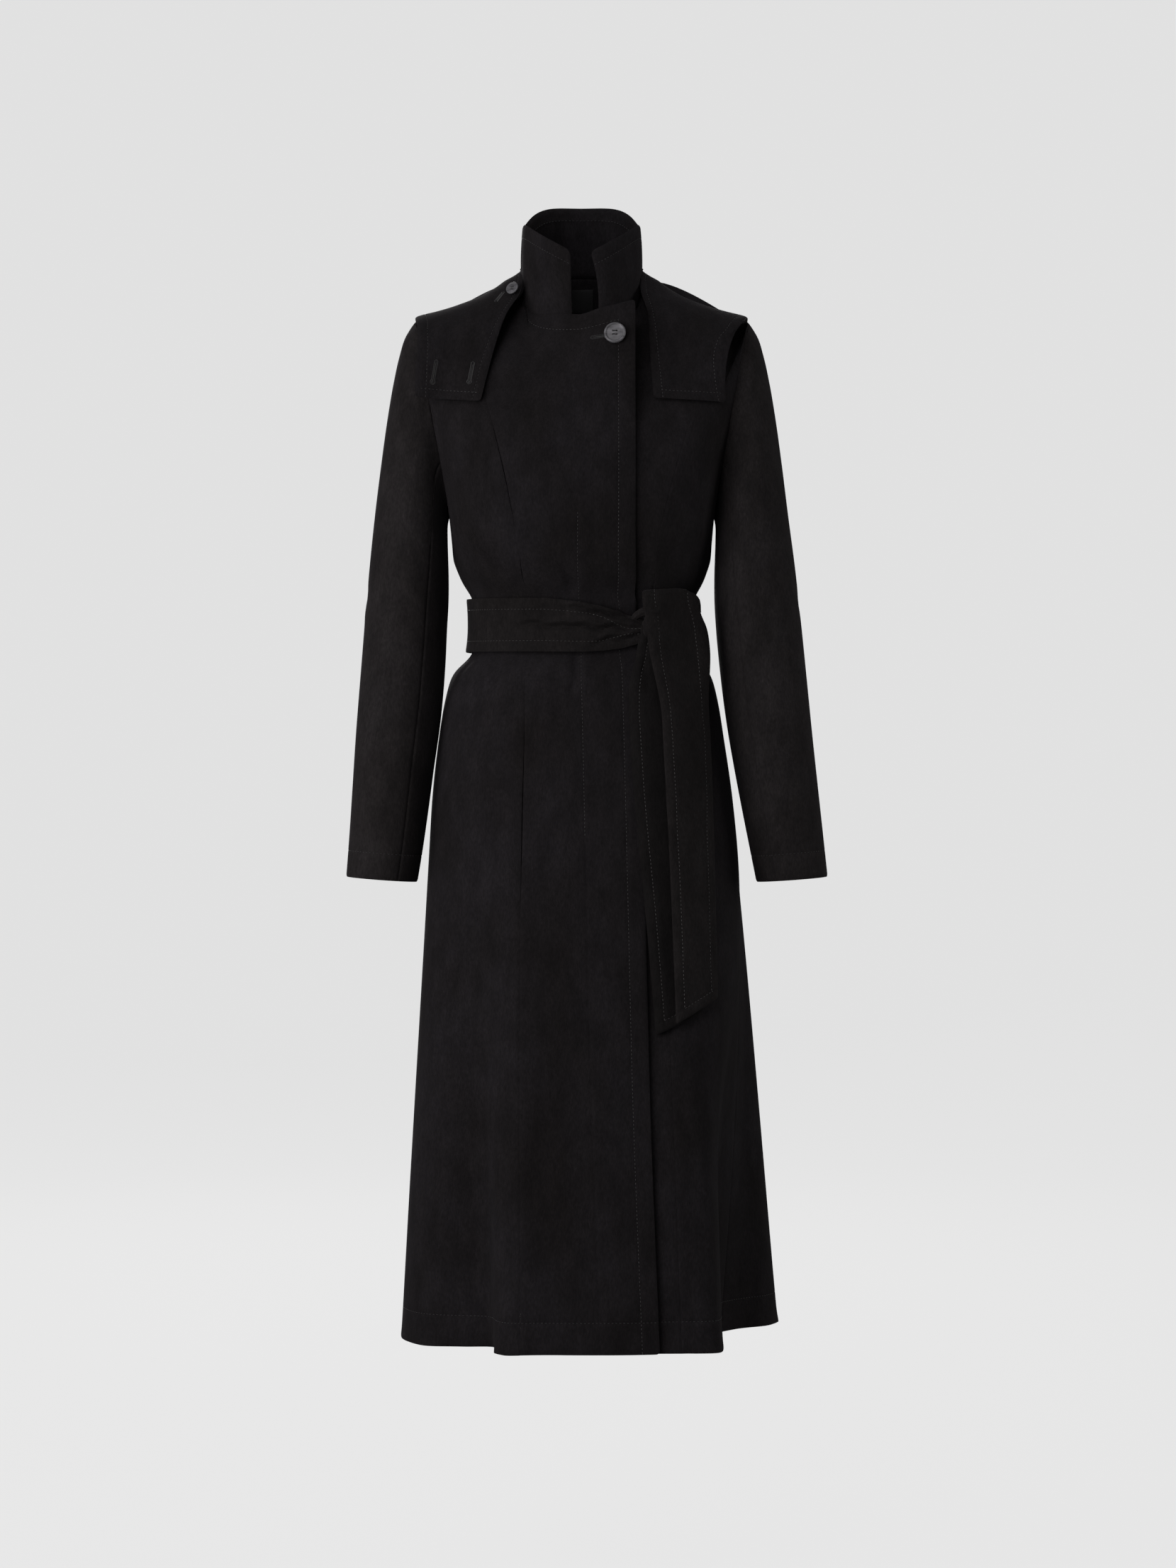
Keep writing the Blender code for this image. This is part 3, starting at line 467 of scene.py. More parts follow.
def refine(points, marks, cell, closed=False):
    """Resample along the first axis: each mark gets a line, with even steps between marks."""
    shift = 0
    if closed:
        points = np.concatenate([points[-WRAP:], points, points[:WRAP + 1]])
        shift = WRAP
    knots = run_of(points)
    stops = np.array([knots[index + shift] + offset for _, index, offset in marks])
    parts = []
    lines = {}
    count = 0
    for (label, _, _), low, high in zip(marks, stops, stops[1:]):
        lines[label] = count
        steps = max(1, math.ceil((high - low).max() / cell))
        shares = np.arange(steps)[:, None] / steps
        parts.append(low + (high - low) * shares)
        count += steps
    lines[marks[-1][0]] = count
    parts.append(stops[-1][None])
    at = np.concatenate(parts)
    columns = range(points.shape[1])
    fine = np.stack([spline(points[:, k], knots[:, k], at[:, k]) for k in columns], axis=1)
    return (fine[:-1] if closed else fine), lines


def edge_marks(name, index, sign, stitches=()):
    """Marks from an edge inwards: the edge's rounding and each stitch line at its inset."""
    marks = [(f"{name}_edge{k}", index, sign * inset) for k, inset in enumerate(EDGE_LINES)]
    for inset in stitches:
        for k, aside in enumerate(STITCH_LINES):
            marks.append((f"{name}_stitch{inset * 1000:g}_{k}", index, sign * (inset + aside)))
    return marks if sign > 0 else marks[::-1]


def stitch_line(name, inset):
    """Label of the sewn line itself, the middle one of its marks."""
    return f"{name}_stitch{inset * 1000:g}_1"


def seam_marks(name, index):
    """Marks of a sewn seam inside a piece."""
    return [(f"{name}_seam_{k}", index, aside) for k, aside in enumerate(STITCH_LINES)]


def normals_of(points, closed=False):
    """Unit normals of a fine grid."""
    if closed:
        across = np.roll(points, -1, axis=1) - np.roll(points, 1, axis=1)
    else:
        across = np.gradient(points, axis=1)
    climb = np.gradient(points, axis=0)
    normals = np.cross(across, climb)
    return normals / np.maximum(np.linalg.norm(normals, axis=2, keepdims=True), NO_AREA)


class Sheet:
    """Fine outer face of one cloth piece."""

    def __init__(self, name, wall, facing, near, row_marks, column_marks, slack=0.004, seam_at=None,
                 extend=None, passes=0, rim_passes=0, row_cell=CELL):
        closed = near is None
        grid = grid_of(frame["nodes"][name], wall, facing, near, slack)
        middle = grid[len(grid) // 2, grid.shape[1] // 2]
        normal = normals_of(grid, closed)[len(grid) // 2, grid.shape[1] // 2]
        if normal @ np.array(facing(Vector(middle))) < 0:
            grid = grid[:, ::-1]
        if closed:
            start = max(range(grid.shape[1]), key=lambda k: seam_at(grid[len(grid) // 2, k]))
            grid = np.roll(grid, -start, axis=1)
        if extend is not None:
            grid = extend(grid)
        rows, columns = grid.shape[:2]
        across = np.swapaxes(grid, 0, 1)
        last = columns if closed else columns - 1
        fine, self.rows = refine(grid, row_marks(rows - 1), row_cell)
        fine, self.columns = refine(np.swapaxes(fine, 0, 1), column_marks(last), CELL, closed)
        self.points = np.swapaxes(fine, 0, 1).copy()
        self.smooth(passes, rim_passes)
        self.name = name
        self.wall = wall
        self.closed = closed
        if closed:
            across = np.concatenate([across, across[:1]])
        self.cut = tuple(run_of(lines)[-1].max() for lines in (across, grid))
        self.thickness = np.full(self.points.shape[:2], wall)
        self.shape_edges()

    def smooth(self, passes, rim_passes):
        """Ease out dents square to the cloth; a free rim is eased along its own line."""
        for k in range(passes):
            normals = normals_of(self.points)[1:-1, 1:-1]
            dents = (to_middle(self.points) * normals).sum(2, keepdims=True)
            self.points[1:-1, 1:-1] += normals * dents * SMOOTH_SHARE
            if k < rim_passes:
                for line in (self.points[:, 0], self.points[:, -1]):
                    line[1:-1] += ((line[:-2] + line[2:]) / 2 - line[1:-1]) * SMOOTH_SHARE

    def shape_edges(self):
        """Round the edges and sink stitch and seam lines."""
        normals = normals_of(self.points, self.closed)
        sink = np.zeros(self.points.shape[:2])
        for lines, by_row in ((self.rows, True), (self.columns, False)):
            for label, k in lines.items():
                depth = 0.0
                if "_edge" in label:
                    depth = EDGE_PULL[int(label[-1])] * self.wall / WALL
                elif label.endswith("_1"):
                    depth = SEAM_SINK if "_seam" in label else STITCH_SINK
                line = (k, slice(None)) if by_row else (slice(None), k % self.points.shape[1])
                sink[line] = np.maximum(sink[line], depth)
                if "_edge" in label:
                    self.thickness[line] = np.minimum(self.thickness[line], self.wall - 2 * depth)
        self.points -= normals * sink[:, :, None]

    def thicken_hem(self, label, low_side):
        """Turned-up cloth behind a stitched hem."""
        k = self.rows[label]
        band = slice(len(EDGE_LINES), k) if low_side else slice(k + 1, -len(EDGE_LINES))
        self.thickness[band] += HEM_EXTRA

    def index_grid(self):
        """Index of each point; a tube's first column comes again at the end."""
        rows, columns = self.points.shape[:2]
        index = np.arange(rows * columns).reshape(rows, columns)
        return np.concatenate([index, index[:, :1]], axis=1) if self.closed else index

    def cells(self):
        index = self.index_grid()
        corners = index[:-1, :-1], index[:-1, 1:], index[1:, 1:], index[1:, :-1]
        return np.stack(corners, axis=-1).reshape(-1, 4)

    def line(self, label):
        """Points and normals along a marked row or column."""
        normals = normals_of(self.points, self.closed)
        if label in self.rows:
            k = self.rows[label]
            points, facing = self.points[k], normals[k]
        else:
            k = self.columns[label]
            points, facing = self.points[:, k], normals[:, k]
        if self.closed and label in self.rows:
            points = np.concatenate([points, points[:1]])
            facing = np.concatenate([facing, facing[:1]])
        return points, facing

    def build(self, material):
        """Closed wall from the fine outer face."""
        normals = normals_of(self.points, self.closed)
        inner = self.points - normals * self.thickness[:, :, None]
        count = inner[:, :, 0].size
        faces = self.cells()
        index = self.index_grid()
        rims = [(index[0], True), (index[-1], False)]
        if not self.closed:
            rims += [(index[:, 0], False), (index[:, -1], True)]
        rims = [rim_faces(line, count, outwards) for line, outwards in rims]
        verts = np.concatenate([self.points.reshape(-1, 3), inner.reshape(-1, 3)])
        polys = np.concatenate([faces, faces[:, ::-1] + count, *rims])
        return add_mesh(self.name + "_cloth", verts, polys.tolist(), material)


def rim_faces(line, count, outwards):
    low, high = line[:-1], line[1:]
    quads = np.stack([low, low + count, high + count, high], axis=-1)
    return quads if outwards else quads[:, ::-1]


# Where each piece faces outwards

CENTRE_X = -0.006           # middle of the neck and of the hood
SHOULDER_Z = -0.2           # above this height the body's cloth faces upwards too
SHOULDER_LEAN = 0.15
ARM_TOP = (0.165, 0.0, -0.142)
ARM_END = (0.226, -0.038, -0.655)
HOOD_FRONT_Y = 0.03


def from_body(point):
    return Vector((point.x, point.y, SHOULDER_LEAN * max(0, point.z - SHOULDER_Z))).normalized()


def from_neck(point):
    return Vector((point.x - CENTRE_X, point.y, 0)).normalized()


def from_arm(side):
    mirror = Vector((side, 1, 1))
    top = Vector(ARM_TOP) * mirror
    along = (Vector(ARM_END) * mirror - top).normalized()

    def facing(point):
        return (point - (top + along * (point - top).dot(along))).normalized()

    return facing


def to_front(point):
    return Vector((0, -1, 0))


def hood_way(point):
    """Only the flaps tell which side is out: the pouch faces every way."""
    if point.y > HOOD_FRONT_Y:
        return Vector((0, 0, 0))
    return Vector((0, -1, 1)).normalized()


# Stitch lines: how far each lies from its edge

HEM_STITCH = 0.034
FRONT_STITCH = 0.019
FACING_STITCH = 0.064
CUFF_STITCH = 0.029
COLLAR_STITCH = 0.015
FLAP_STITCH = 0.010
FACE_STITCH = 0.012
BELT_STITCH = 0.0125
TAIL_STITCH = 0.0115


def two_edges(first, last, first_stitches=(), last_stitches=()):
    """Marks of two opposite edges and the stitch lines along them."""
    def marks(end):
        return edge_marks(first, 0, 1, first_stitches) + edge_marks(last, end, -1, last_stitches)
    return marks


def sleeve_columns(last):
    closing = [("inner_seam_0b", last, -STITCH_LINES[2]), ("round", last, 0.0)]
    return seam_marks("inner", 0)[1:] + seam_marks("outer", last // 2) + closing


def ring_columns(last):
    return [("start", 0, 0.0), ("round", last, 0.0)]


# Belt ends: how they go into the knot

ROLL_RADIUS = 0.0056
ROLL_STEPS = 6
ROLL_DROP = 0.010


def rolled_top(grid):
    """Front belt end: its top turns over backwards and goes down behind."""
    rows = list(grid)
    for k in range(1, ROLL_STEPS + 1):
        turn = math.pi * k / ROLL_STEPS
        rolled = (0, ROLL_RADIUS * (1 - math.cos(turn)), ROLL_RADIUS * math.sin(turn))
        rows.append(grid[-1] + np.array(rolled))
    rows.append(rows[-1] + np.array((0, 0, -ROLL_DROP)))
    return np.array(rows)


NECK_ROWS = named_rows("left_x right_x y z", [
    (0.0552, 0.0930, -0.1085, -0.4000),
    (0.0575, 0.0870, -0.1080, -0.3910),
    (0.0600, 0.0810, -0.1070, -0.3810),
])


def narrowed_top(grid):
    """Back belt end: its top narrows into the knot."""
    rows = list(grid)
    shares = np.linspace(0, 1, grid.shape[1])
    for row in NECK_ROWS:
        width = row.right_x - row.left_x
        x = row.left_x + width * shares
        y = row.y + (grid[-1][:, 1] - grid[-1][0, 1]) * width / np.ptp(grid[-1][:, 0])
        rows.append(np.stack([x, y, np.full_like(x, row.z)], axis=1))
    return np.array(rows)


# Making the fine cloth; each place is the lower left corner of its piece, seen from outside

sheets = {}


def add_sheet(name, *arguments, **options):
    sheets[name] = Sheet(name, *arguments, **options)


HEM_Z = -1.161
for panel in named_rows("name corner top_stitches last_stitches", [
        ("right_side_front", (-0.200, 0.0, HEM_Z), (), ()),
        ("right_front", (-0.070, -0.160, HEM_Z), (FRONT_STITCH,), (FRONT_STITCH, FACING_STITCH)),
        ("left_front", (-0.048, -0.160, HEM_Z), (), ()),
        ("left_side_front", (0.102, -0.150, HEM_Z), (), ()),
        ("back", (0.215, 0.0, HEM_Z), (), ())]):
    add_sheet(panel.name, WALL, from_body, panel.corner,
              two_edges("hem", "top", (HEM_STITCH,), panel.top_stitches),
              two_edges("first", "last", (), panel.last_stitches), passes=PANEL_PASSES)
for prefix, side in (("right", -1), ("left", 1)):
    add_sheet(prefix + "_sleeve", WALL, from_arm(side), None,
              two_edges("armhole", "cuff", (), (CUFF_STITCH,)), sleeve_columns, slack=0.1,
              seam_at=lambda point: -side * point[0] - point[1])
add_sheet("collar", DOUBLE_WALL, from_neck, (0.013, -0.070, -0.034),
          two_edges("low", "high", (), (COLLAR_STITCH,)), two_edges("first", "last"))
for name, corner, first_stitch, last_stitch in (
        ("hood_right", (-0.188, -0.090, -0.127), FACE_STITCH, FLAP_STITCH),
        ("hood_left", (0.073, -0.090, -0.129), FLAP_STITCH, FACE_STITCH)):
    add_sheet(name, WALL, hood_way, corner, two_edges("low", "high", (FLAP_STITCH,)),
              two_edges("first", "last", (first_stitch,), (last_stitch,)),
              passes=HOOD_PASSES, rim_passes=HOOD_RIM_PASSES)
add_sheet("belt_waist", DOUBLE_WALL, from_body, None,
          two_edges("low", "high", (BELT_STITCH,), (BELT_STITCH,)), ring_columns,
          seam_at=lambda point: point[1], row_cell=BELT_CELL)
for name, corner, extend in (("belt_tail_front", (0.096, -0.150, -0.8085), rolled_top),
                             ("belt_tail_back", (0.0745, -0.145, -0.8207), narrowed_top)):
    add_sheet(name, DOUBLE_WALL, to_front, corner, two_edges("low", "high", (TAIL_STITCH,)),
              two_edges("first", "last", (TAIL_STITCH,), (TAIL_STITCH,)), extend=extend)
add_sheet("neck_label", LABEL_WALL, to_front, (-0.017, 0.060, -0.018), two_edges("low", "high"),
          two_edges("first", "last"))


# Easing the cloth of chest and hood

EASE_Z = (-0.250, -0.190)    # the easing of the chest fades out between these heights
EASE_RIM = (0.009, 0.022)    # and towards the rims
EASE_REACH = 0.012
EASE_PASSES = 160
NECK_REACH = 0.032           # cloth of the hood that lies against the collar
NECK_Z = (-0.035, 0.000)
NECK_SHIFT = 0.0055
POUCH_SPREAD = 0.040
POUCH_Z = (-0.200, -0.240)
POUCH_RISE = 0.011
SEAM_SPREAD = 0.012
SEAM_RISE = 0.004
FLAP_LIFT = 0.006
FLAP_X = (0.145, 0.180)
FLAP_Z = (0.050, 0.090)
FACING_TOP = -0.235
FOLD_RISE = (0.10, 0.42)     # shares of the way from princess seam to side seam
FOLD_FALL = (0.00, 0.38)
FOLD_Z = (0.740, 0.980)
FOLD_SHIFT = 0.016
SLANT_PASSES = 10            # spread the step in the side front's hem into a slant
SLANT_FADE = 0.090


def fitted_depth(places, cloud):
    """Depth of a smooth surface through the cloud, fitted around each place seen from the front."""
    x, y, z = cloud.T
    terms = np.stack([np.ones_like(x), x, z, x * x, x * z, z * z, y, x * y, z * y], axis=1)
    gaps = (places[:, None, 0] - x) ** 2 + (places[:, None, 2] - z) ** 2
    sums = np.exp(-gaps / (2 * EASE_REACH ** 2)) @ terms
    # The sums of 1, x, z and their products, set out as each place's 3 x 3 matrix
    normal = sums[:, [0, 1, 2, 1, 3, 4, 2, 4, 5]].reshape(-1, 3, 3)
    plane = np.linalg.solve(normal, sums[:, 6:, None])[:, :, 0]
    return plane[:, 0] + plane[:, 1] * places[:, 0] + plane[:, 2] * places[:, 2]


def ease_chest(name):
    """Even out the cloth below the neck point, where its rows turn from the shoulder to the neckline."""
    sheet = sheets[name]
    points = sheet.points
    cloud = points.reshape(-1, 3)
    cloud = cloud[cloud[:, 2] > EASE_Z[0] - 3 * EASE_REACH].copy()
    rim = np.concatenate([points[-1], points[:, 0], points[:, -1]])
    rim = rim[rim[:, 2] > EASE_Z[0] - EASE_RIM[1]]
    away = np.linalg.norm(points[:, :, None] - rim, axis=3).min(2)
    share = step(points[:, :, 2], *EASE_Z) * step(away, *EASE_RIM)
    sewn = [k for label, k in sheet.columns.items() if "_stitch" in label]
    share[:, min(sewn, default=points.shape[1]):] = 0
    for _ in range(EASE_PASSES):
        points[1:-1, 1:-1] += to_middle(points) * share[1:-1, 1:-1, None] * SMOOTH_SHARE
    eased = share > 0
    depth = fitted_depth(points[eased], cloud)
    points[eased, 1] += (depth - points[eased, 1]) * share[eased]


def ease_hood(name, neck_column, way):
    """Lay the neck edge of a hood half against the collar and round the bottom of the pouch."""
    points = sheets[name].points
    away = np.linalg.norm(points - points[:, neck_column][:, None], axis=2)
    neck = step(NECK_REACH - away, 0, NECK_REACH) * step(points[:, :, 2], *NECK_Z)
    points[:, :, 0] += NECK_SHIFT * way * neck
    for rise, spread in ((POUCH_RISE, POUCH_SPREAD), (SEAM_RISE, SEAM_SPREAD)):
        across = np.exp(-((points[:, :, 0] - CENTRE_X) / spread) ** 2)
        points[:, :, 2] += rise * across * step(points[:, :, 2], *POUCH_Z)


def lift_flap():
    """The outer corner of the right flap stands clear of the sleeve."""
    points = sheets["hood_right"].points
    points[:, :, 1] -= FLAP_LIFT * step(-points[:, :, 0], *FLAP_X) * step(-points[:, :, 2], *FLAP_Z)


def flatten_facing():
    """The facing is caught down only below the chest, so its line is pressed flat above."""
    sheet = sheets["right_front"]
    points = sheet.points
    k = sheet.columns[stitch_line("last", FACING_STITCH)]
    above = points[:, k, 2] > FACING_TOP
    points[above, k] = (points[above, k - 1] + points[above, k + 1]) / 2


def draw_in_fold():
    """Below the hip the left side front folds back, and the back piece shows behind the fold."""
    points = sheets["left_side_front"].points
    run = run_of(points, axis=1)
    run /= run[:, -1:]
    share = step(run, *FOLD_RISE) * step(1 - run, *FOLD_FALL) * step(-points[:, :, 2], *FOLD_Z)
    points[:, :, 0] -= FOLD_SHIFT * share


def slant_hem():
    """The hem of the right side front slants down where the cloth comes forward in a fold."""
    heights = sheets["right_side_front"].points[:, :, 2]
    share = SMOOTH_SHARE * (1 - step(heights - heights[0], 0, SLANT_FADE))[:, 1:-1]
    for _ in range(SLANT_PASSES):
        heights[:, 1:-1] += ((heights[:, :-2] + heights[:, 2:]) / 2 - heights[:, 1:-1]) * share


ease_chest("right_front")
ease_chest("left_front")
lift_flap()
flatten_facing()
draw_in_fold()
slant_hem()
ease_hood("hood_right", -1, 1)
ease_hood("hood_left", 0, -1)


# Closing the sewn seams

SEWN_EDGES = {
    "right_side_front": ("top", "first", "last"),
    "right_front": ("top", "first"),
    "left_front": ("top", "last"),
    "left_side_front": ("top", "first", "last"),
    "back": ("top", "first", "last"),
    "right_sleeve": ("armhole",),
    "left_sleeve": ("armhole",),
    "collar": ("low",),
}
HOOD_SEAM = {"hood_right": ("high",), "hood_left": ("high",)}
SEAM_REACH = 0.0045
SEAM_FOLLOW = (1.0, 0.62, 0.18)


def nearest_on(points, starts, ends):
    """Nearest place on any of the segments for each point."""
    span = ends - starts
    square = np.maximum((span ** 2).sum(1), NO_LENGTH)
    found = np.empty_like(points)
    for k, point in enumerate(points):
        t = np.clip(((point - starts) * span).sum(1) / square, 0, 1)
        places = starts + span * t[:, None]
        found[k] = places[np.argmin(((places - point) ** 2).sum(1))]
    return found


def close_seams(edges):
    """Draw neighbouring edges together, so that sewn pieces meet with no light between them."""
    lines = {(name, edge): sheets[name].line(edge + "_edge0")[0].copy()
             for name in edges for edge in edges[name]}
    for (name, edge), line in lines.items():
        others = [other for (owner, _), other in lines.items() if owner != name]
        starts = np.concatenate([other[:-1] for other in others])
        ends = np.concatenate([other[1:] for other in others])
        shift = (nearest_on(line, starts, ends) - line) / 2
        shift[np.linalg.norm(shift, axis=1) > SEAM_REACH / 2] = 0
        sheet = sheets[name]
        if sheet.closed:
            shift = shift[:-1]
        for k, share in enumerate(SEAM_FOLLOW):
            label = f"{edge}_edge{k}"
            if label in sheet.rows:
                sheet.points[sheet.rows[label]] += shift * share
            else:
                sheet.points[:, sheet.columns[label]] += shift * share


close_seams(SEWN_EDGES)
close_seams(HOOD_SEAM)


# Rounded corners

LOW_END, HIGH_END = 0, -1


def round_corner(name, row_end, column_end, radius):
    """Round one corner of an open sheet within its own surface."""
    points = sheets[name].points
    rows = points if row_end == LOW_END else points[::-1]
    area = rows if column_end == LOW_END else rows[:, ::-1]
    u = np.clip(1 - run_of(area, axis=1) / radius, 0, None)
    v = np.clip(1 - run_of(area) / radius, 0, None)
    both = (u > 0) & (v > 0)
    u_round = u * np.sqrt(1 - v ** 2 / 2)
    v_round = v * np.sqrt(1 - u ** 2 / 2)
    along = unit(np.gradient(area, axis=1))
    climb = unit(np.gradient(area, axis=0))
    move = along * ((u - u_round) * radius)[:, :, None] + climb * ((v - v_round) * radius)[:, :, None]
    area[both] += move[both]


for corner in named_rows("name row_end column_end radius", [
        ("collar", HIGH_END, LOW_END, 0.006),
        ("collar", HIGH_END, HIGH_END, 0.006),
        ("right_front", HIGH_END, HIGH_END, 0.005),
        ("right_front", LOW_END, HIGH_END, 0.004),
        ("left_front", LOW_END, LOW_END, 0.004),
        ("hood_right", LOW_END, LOW_END, 0.005),
        ("hood_right", LOW_END, HIGH_END, 0.004),
        ("hood_left", LOW_END, LOW_END, 0.004),
        ("hood_left", LOW_END, HIGH_END, 0.005),
        ("belt_tail_front", LOW_END, LOW_END, 0.003),
        ("belt_tail_front", LOW_END, HIGH_END, 0.003),
        ("belt_tail_back", LOW_END, LOW_END, 0.003),
        ("belt_tail_back", LOW_END, HIGH_END, 0.003)]):
    round_corner(*corner)


COAT_FRONT = ("right_front", "right_side_front", "left_front", "left_side_front")
COAT_BODY = COAT_FRONT + ("back",)


# Belt: drawn together at the knot, its ends widened and bent

BELT_EDGES = named_rows("x top bottom", [
    (-0.0450, -0.3477, -0.4060),
    (-0.0240, -0.3500, -0.4063),
    (0.0000, -0.3534, -0.4062),
    (0.0200, -0.3580, -0.4050),
    (0.0400, -0.3650, -0.4022),
    (0.0560, -0.3702, -0.3975),
    (0.0660, -0.3730, -0.3890),
    (0.0750, -0.3715, -0.3895),
    (0.0920, -0.3570, -0.4015),
    (0.1060, -0.3480, -0.4045),
])
BELT_FRONT_Y = -0.055
BELT_BUNDLE = 0.0045    # extra height of the cloth where it is bunched
BELT_BUNDLE_X = 0.066
BELT_BUNDLE_SPREAD = 0.026
BELT_FLATTEN = 0.75


def straighten_belt():
    """Pulled tight, the belt stands straight where the coat below it curves in and out again."""
    belt = sheets["belt_waist"]
    radius = np.linalg.norm(belt.points[:, :, :2], axis=2)
    even = np.sort(radius, axis=0)[len(radius) // 3]
    target = radius + (even - radius) * BELT_FLATTEN
    belt.points[:, :, :2] *= (target / radius)[:, :, None]


def gather_belt():
    """Bring the belt's two edges together towards the knot."""
    belt = sheets["belt_waist"]
    table = np.array(BELT_EDGES)
    for k in range(belt.points.shape[1]):
        line = belt.points[:, k]
        x, y, _ = line[len(line) // 2]
        if y > BELT_FRONT_Y or not table[0, 0] < x < table[-1, 0]:
            continue
        top = np.interp(x, table[:, 0], table[:, 1])
        bottom = np.interp(x, table[:, 0], table[:, 2])
        share = (line[:, 2] - line[-1, 2]) / (line[0, 2] - line[-1, 2])
        line[:, 2] = bottom + (top - bottom) * share
        line[:, 1] -= BELT_BUNDLE * math.exp(-((x - BELT_BUNDLE_X) / BELT_BUNDLE_SPREAD) ** 2)


CINCH_TOP, CINCH_BOTTOM = -0.352, -0.400
CINCH_FADE = 0.016
CINCH_GAP = 0.0016
CINCH_LAYER = {"left_front": WALL + 0.0012}     # the under-lapping front lies deeper


def cinch_coat():
    """Draw the coat in under the belt, so that it swells out above and below it."""
    belt = sheets["belt_waist"]
    middle = belt.points[len(belt.points) // 2]
    turns = np.arctan2(middle[:, 0], -middle[:, 1])
    order = np.argsort(turns)
    reach = np.linalg.norm(belt.points[:, :, :2], axis=2).min(0) - DOUBLE_WALL - CINCH_GAP
    turns = np.concatenate([turns[order] - 2 * math.pi, turns[order], turns[order] + 2 * math.pi])
    reach = np.tile(reach[order], 3)
    for name in COAT_BODY:
        sheet = sheets[name]
        depth = CINCH_LAYER.get(name, 0.0)
        z = sheet.points[:, :, 2]
        beyond = np.maximum(np.maximum(z - CINCH_TOP, CINCH_BOTTOM - z), 0)
        share = np.exp(-(beyond / CINCH_FADE) ** 2)
        radius = np.linalg.norm(sheet.points[:, :, :2], axis=2)
        limit = np.interp(np.arctan2(sheet.points[:, :, 0], -sheet.points[:, :, 1]), turns, reach) - depth
        pull = np.maximum(radius - limit, 0) * share
        sheet.points[:, :, :2] *= (1 - pull / radius)[:, :, None]


def bend_edge(name, width, depth, first=True):
    """Let a belt end's long edge turn back."""
    points = sheets[name].points
    inset = run_of(points, axis=1)
    if not first:
        inset = inset[:, -1:] - inset
    points[:, :, 1] += depth * np.clip(1 - inset / width, 0, 1) ** 2


TAIL_WIDEN = 0.0055
TAIL_WIDEN_Z = (-0.470, -0.400)
TAIL_LEFT = 0.010
TAIL_LEFT_Z = (-0.480, -0.385)
TAIL_BULGE = 0.015      # the front end comes forward over the knot
TAIL_BULGE_Z = -0.380
TAIL_BULGE_SPREAD = 0.034
TAIL_BULGE_POWER = 1.5
TAIL_DROP = 0.012       # its top sags at the outer corner
TAIL_DROP_FROM = 0.55
TAIL_DROP_Z = (-0.400, -0.352)


def widen_tail():
    """The front end lies broad where it comes over the belt."""
    points = sheets["belt_tail_front"].points
    heights = points[:, :, 2].copy()
    across = np.linspace(0, 1, points.shape[1])
    points[:, :, 0] += TAIL_WIDEN * step(heights, *TAIL_WIDEN_Z) * across ** 2
    points[:, :, 0] -= TAIL_LEFT * step(heights, *TAIL_LEFT_Z) * (1 - across)
    bulge = np.exp(-((heights - TAIL_BULGE_Z) / TAIL_BULGE_SPREAD) ** 2)
    points[:, :, 1] -= TAIL_BULGE * bulge * (1 - across) ** TAIL_BULGE_POWER
    outer = np.clip((across - TAIL_DROP_FROM) / (1 - TAIL_DROP_FROM), 0, 1)
    points[:, :, 2] -= TAIL_DROP * outer ** 2 * step(heights, *TAIL_DROP_Z)


straighten_belt()
gather_belt()
cinch_coat()
widen_tail()
bend_edge("belt_tail_back", width=0.015, depth=0.0050)
bend_edge("belt_tail_front", width=0.012, depth=0.0028)
bend_edge("belt_tail_front", width=0.014, depth=0.0030, first=False)


# Creases

FRONT, BACK, RIGHT, LEFT = (0, -1, 0), (0, 1, 0), (-1, 0, 0), (1, 0, 0)
CREASE_STEP = 0.003
CREASE_LEAST = 4        # points of a path
CREASE_REACH = 4        # widths beside the path that a crease can move
CREASE_TAPER = 0.7
RIDGE_SHARE = 0.35      # height of the soft ridge beside a trough
RIDGE_AT = 1.9
RIDGE_WIDTH = 0.8
WANDER = 0.0012
WANDER_LENGTHS = (0.047, 0.029)
WANDER_START = 100      # makes each crease sway in its own way
FACING_LOW, FACING_HIGH = 0.15, 0.55


def aside_of(path):
    """Unit ways square to a flat path."""
    along = np.gradient(path, axis=0)
    return unit(np.stack([-along[:, 1], along[:, 0]], axis=1))


def crease_path(points):
    """Fine, slightly wandering path through the given points, with its share of length at each place."""
    points = np.array(points, float)
    knots = run_of(points)
    at = np.linspace(0, knots[-1], max(CREASE_LEAST, math.ceil(knots[-1] / CREASE_STEP)))
    fine = spline(points, knots, at)
    start = points[0].sum() * WANDER_START
    sway = sum(np.sin(at / length * math.tau + start * (k + 1)) for k, length in enumerate(WANDER_LENGTHS))
    return fine + aside_of(fine) * (WANDER * sway)[:, None], at / knots[-1]


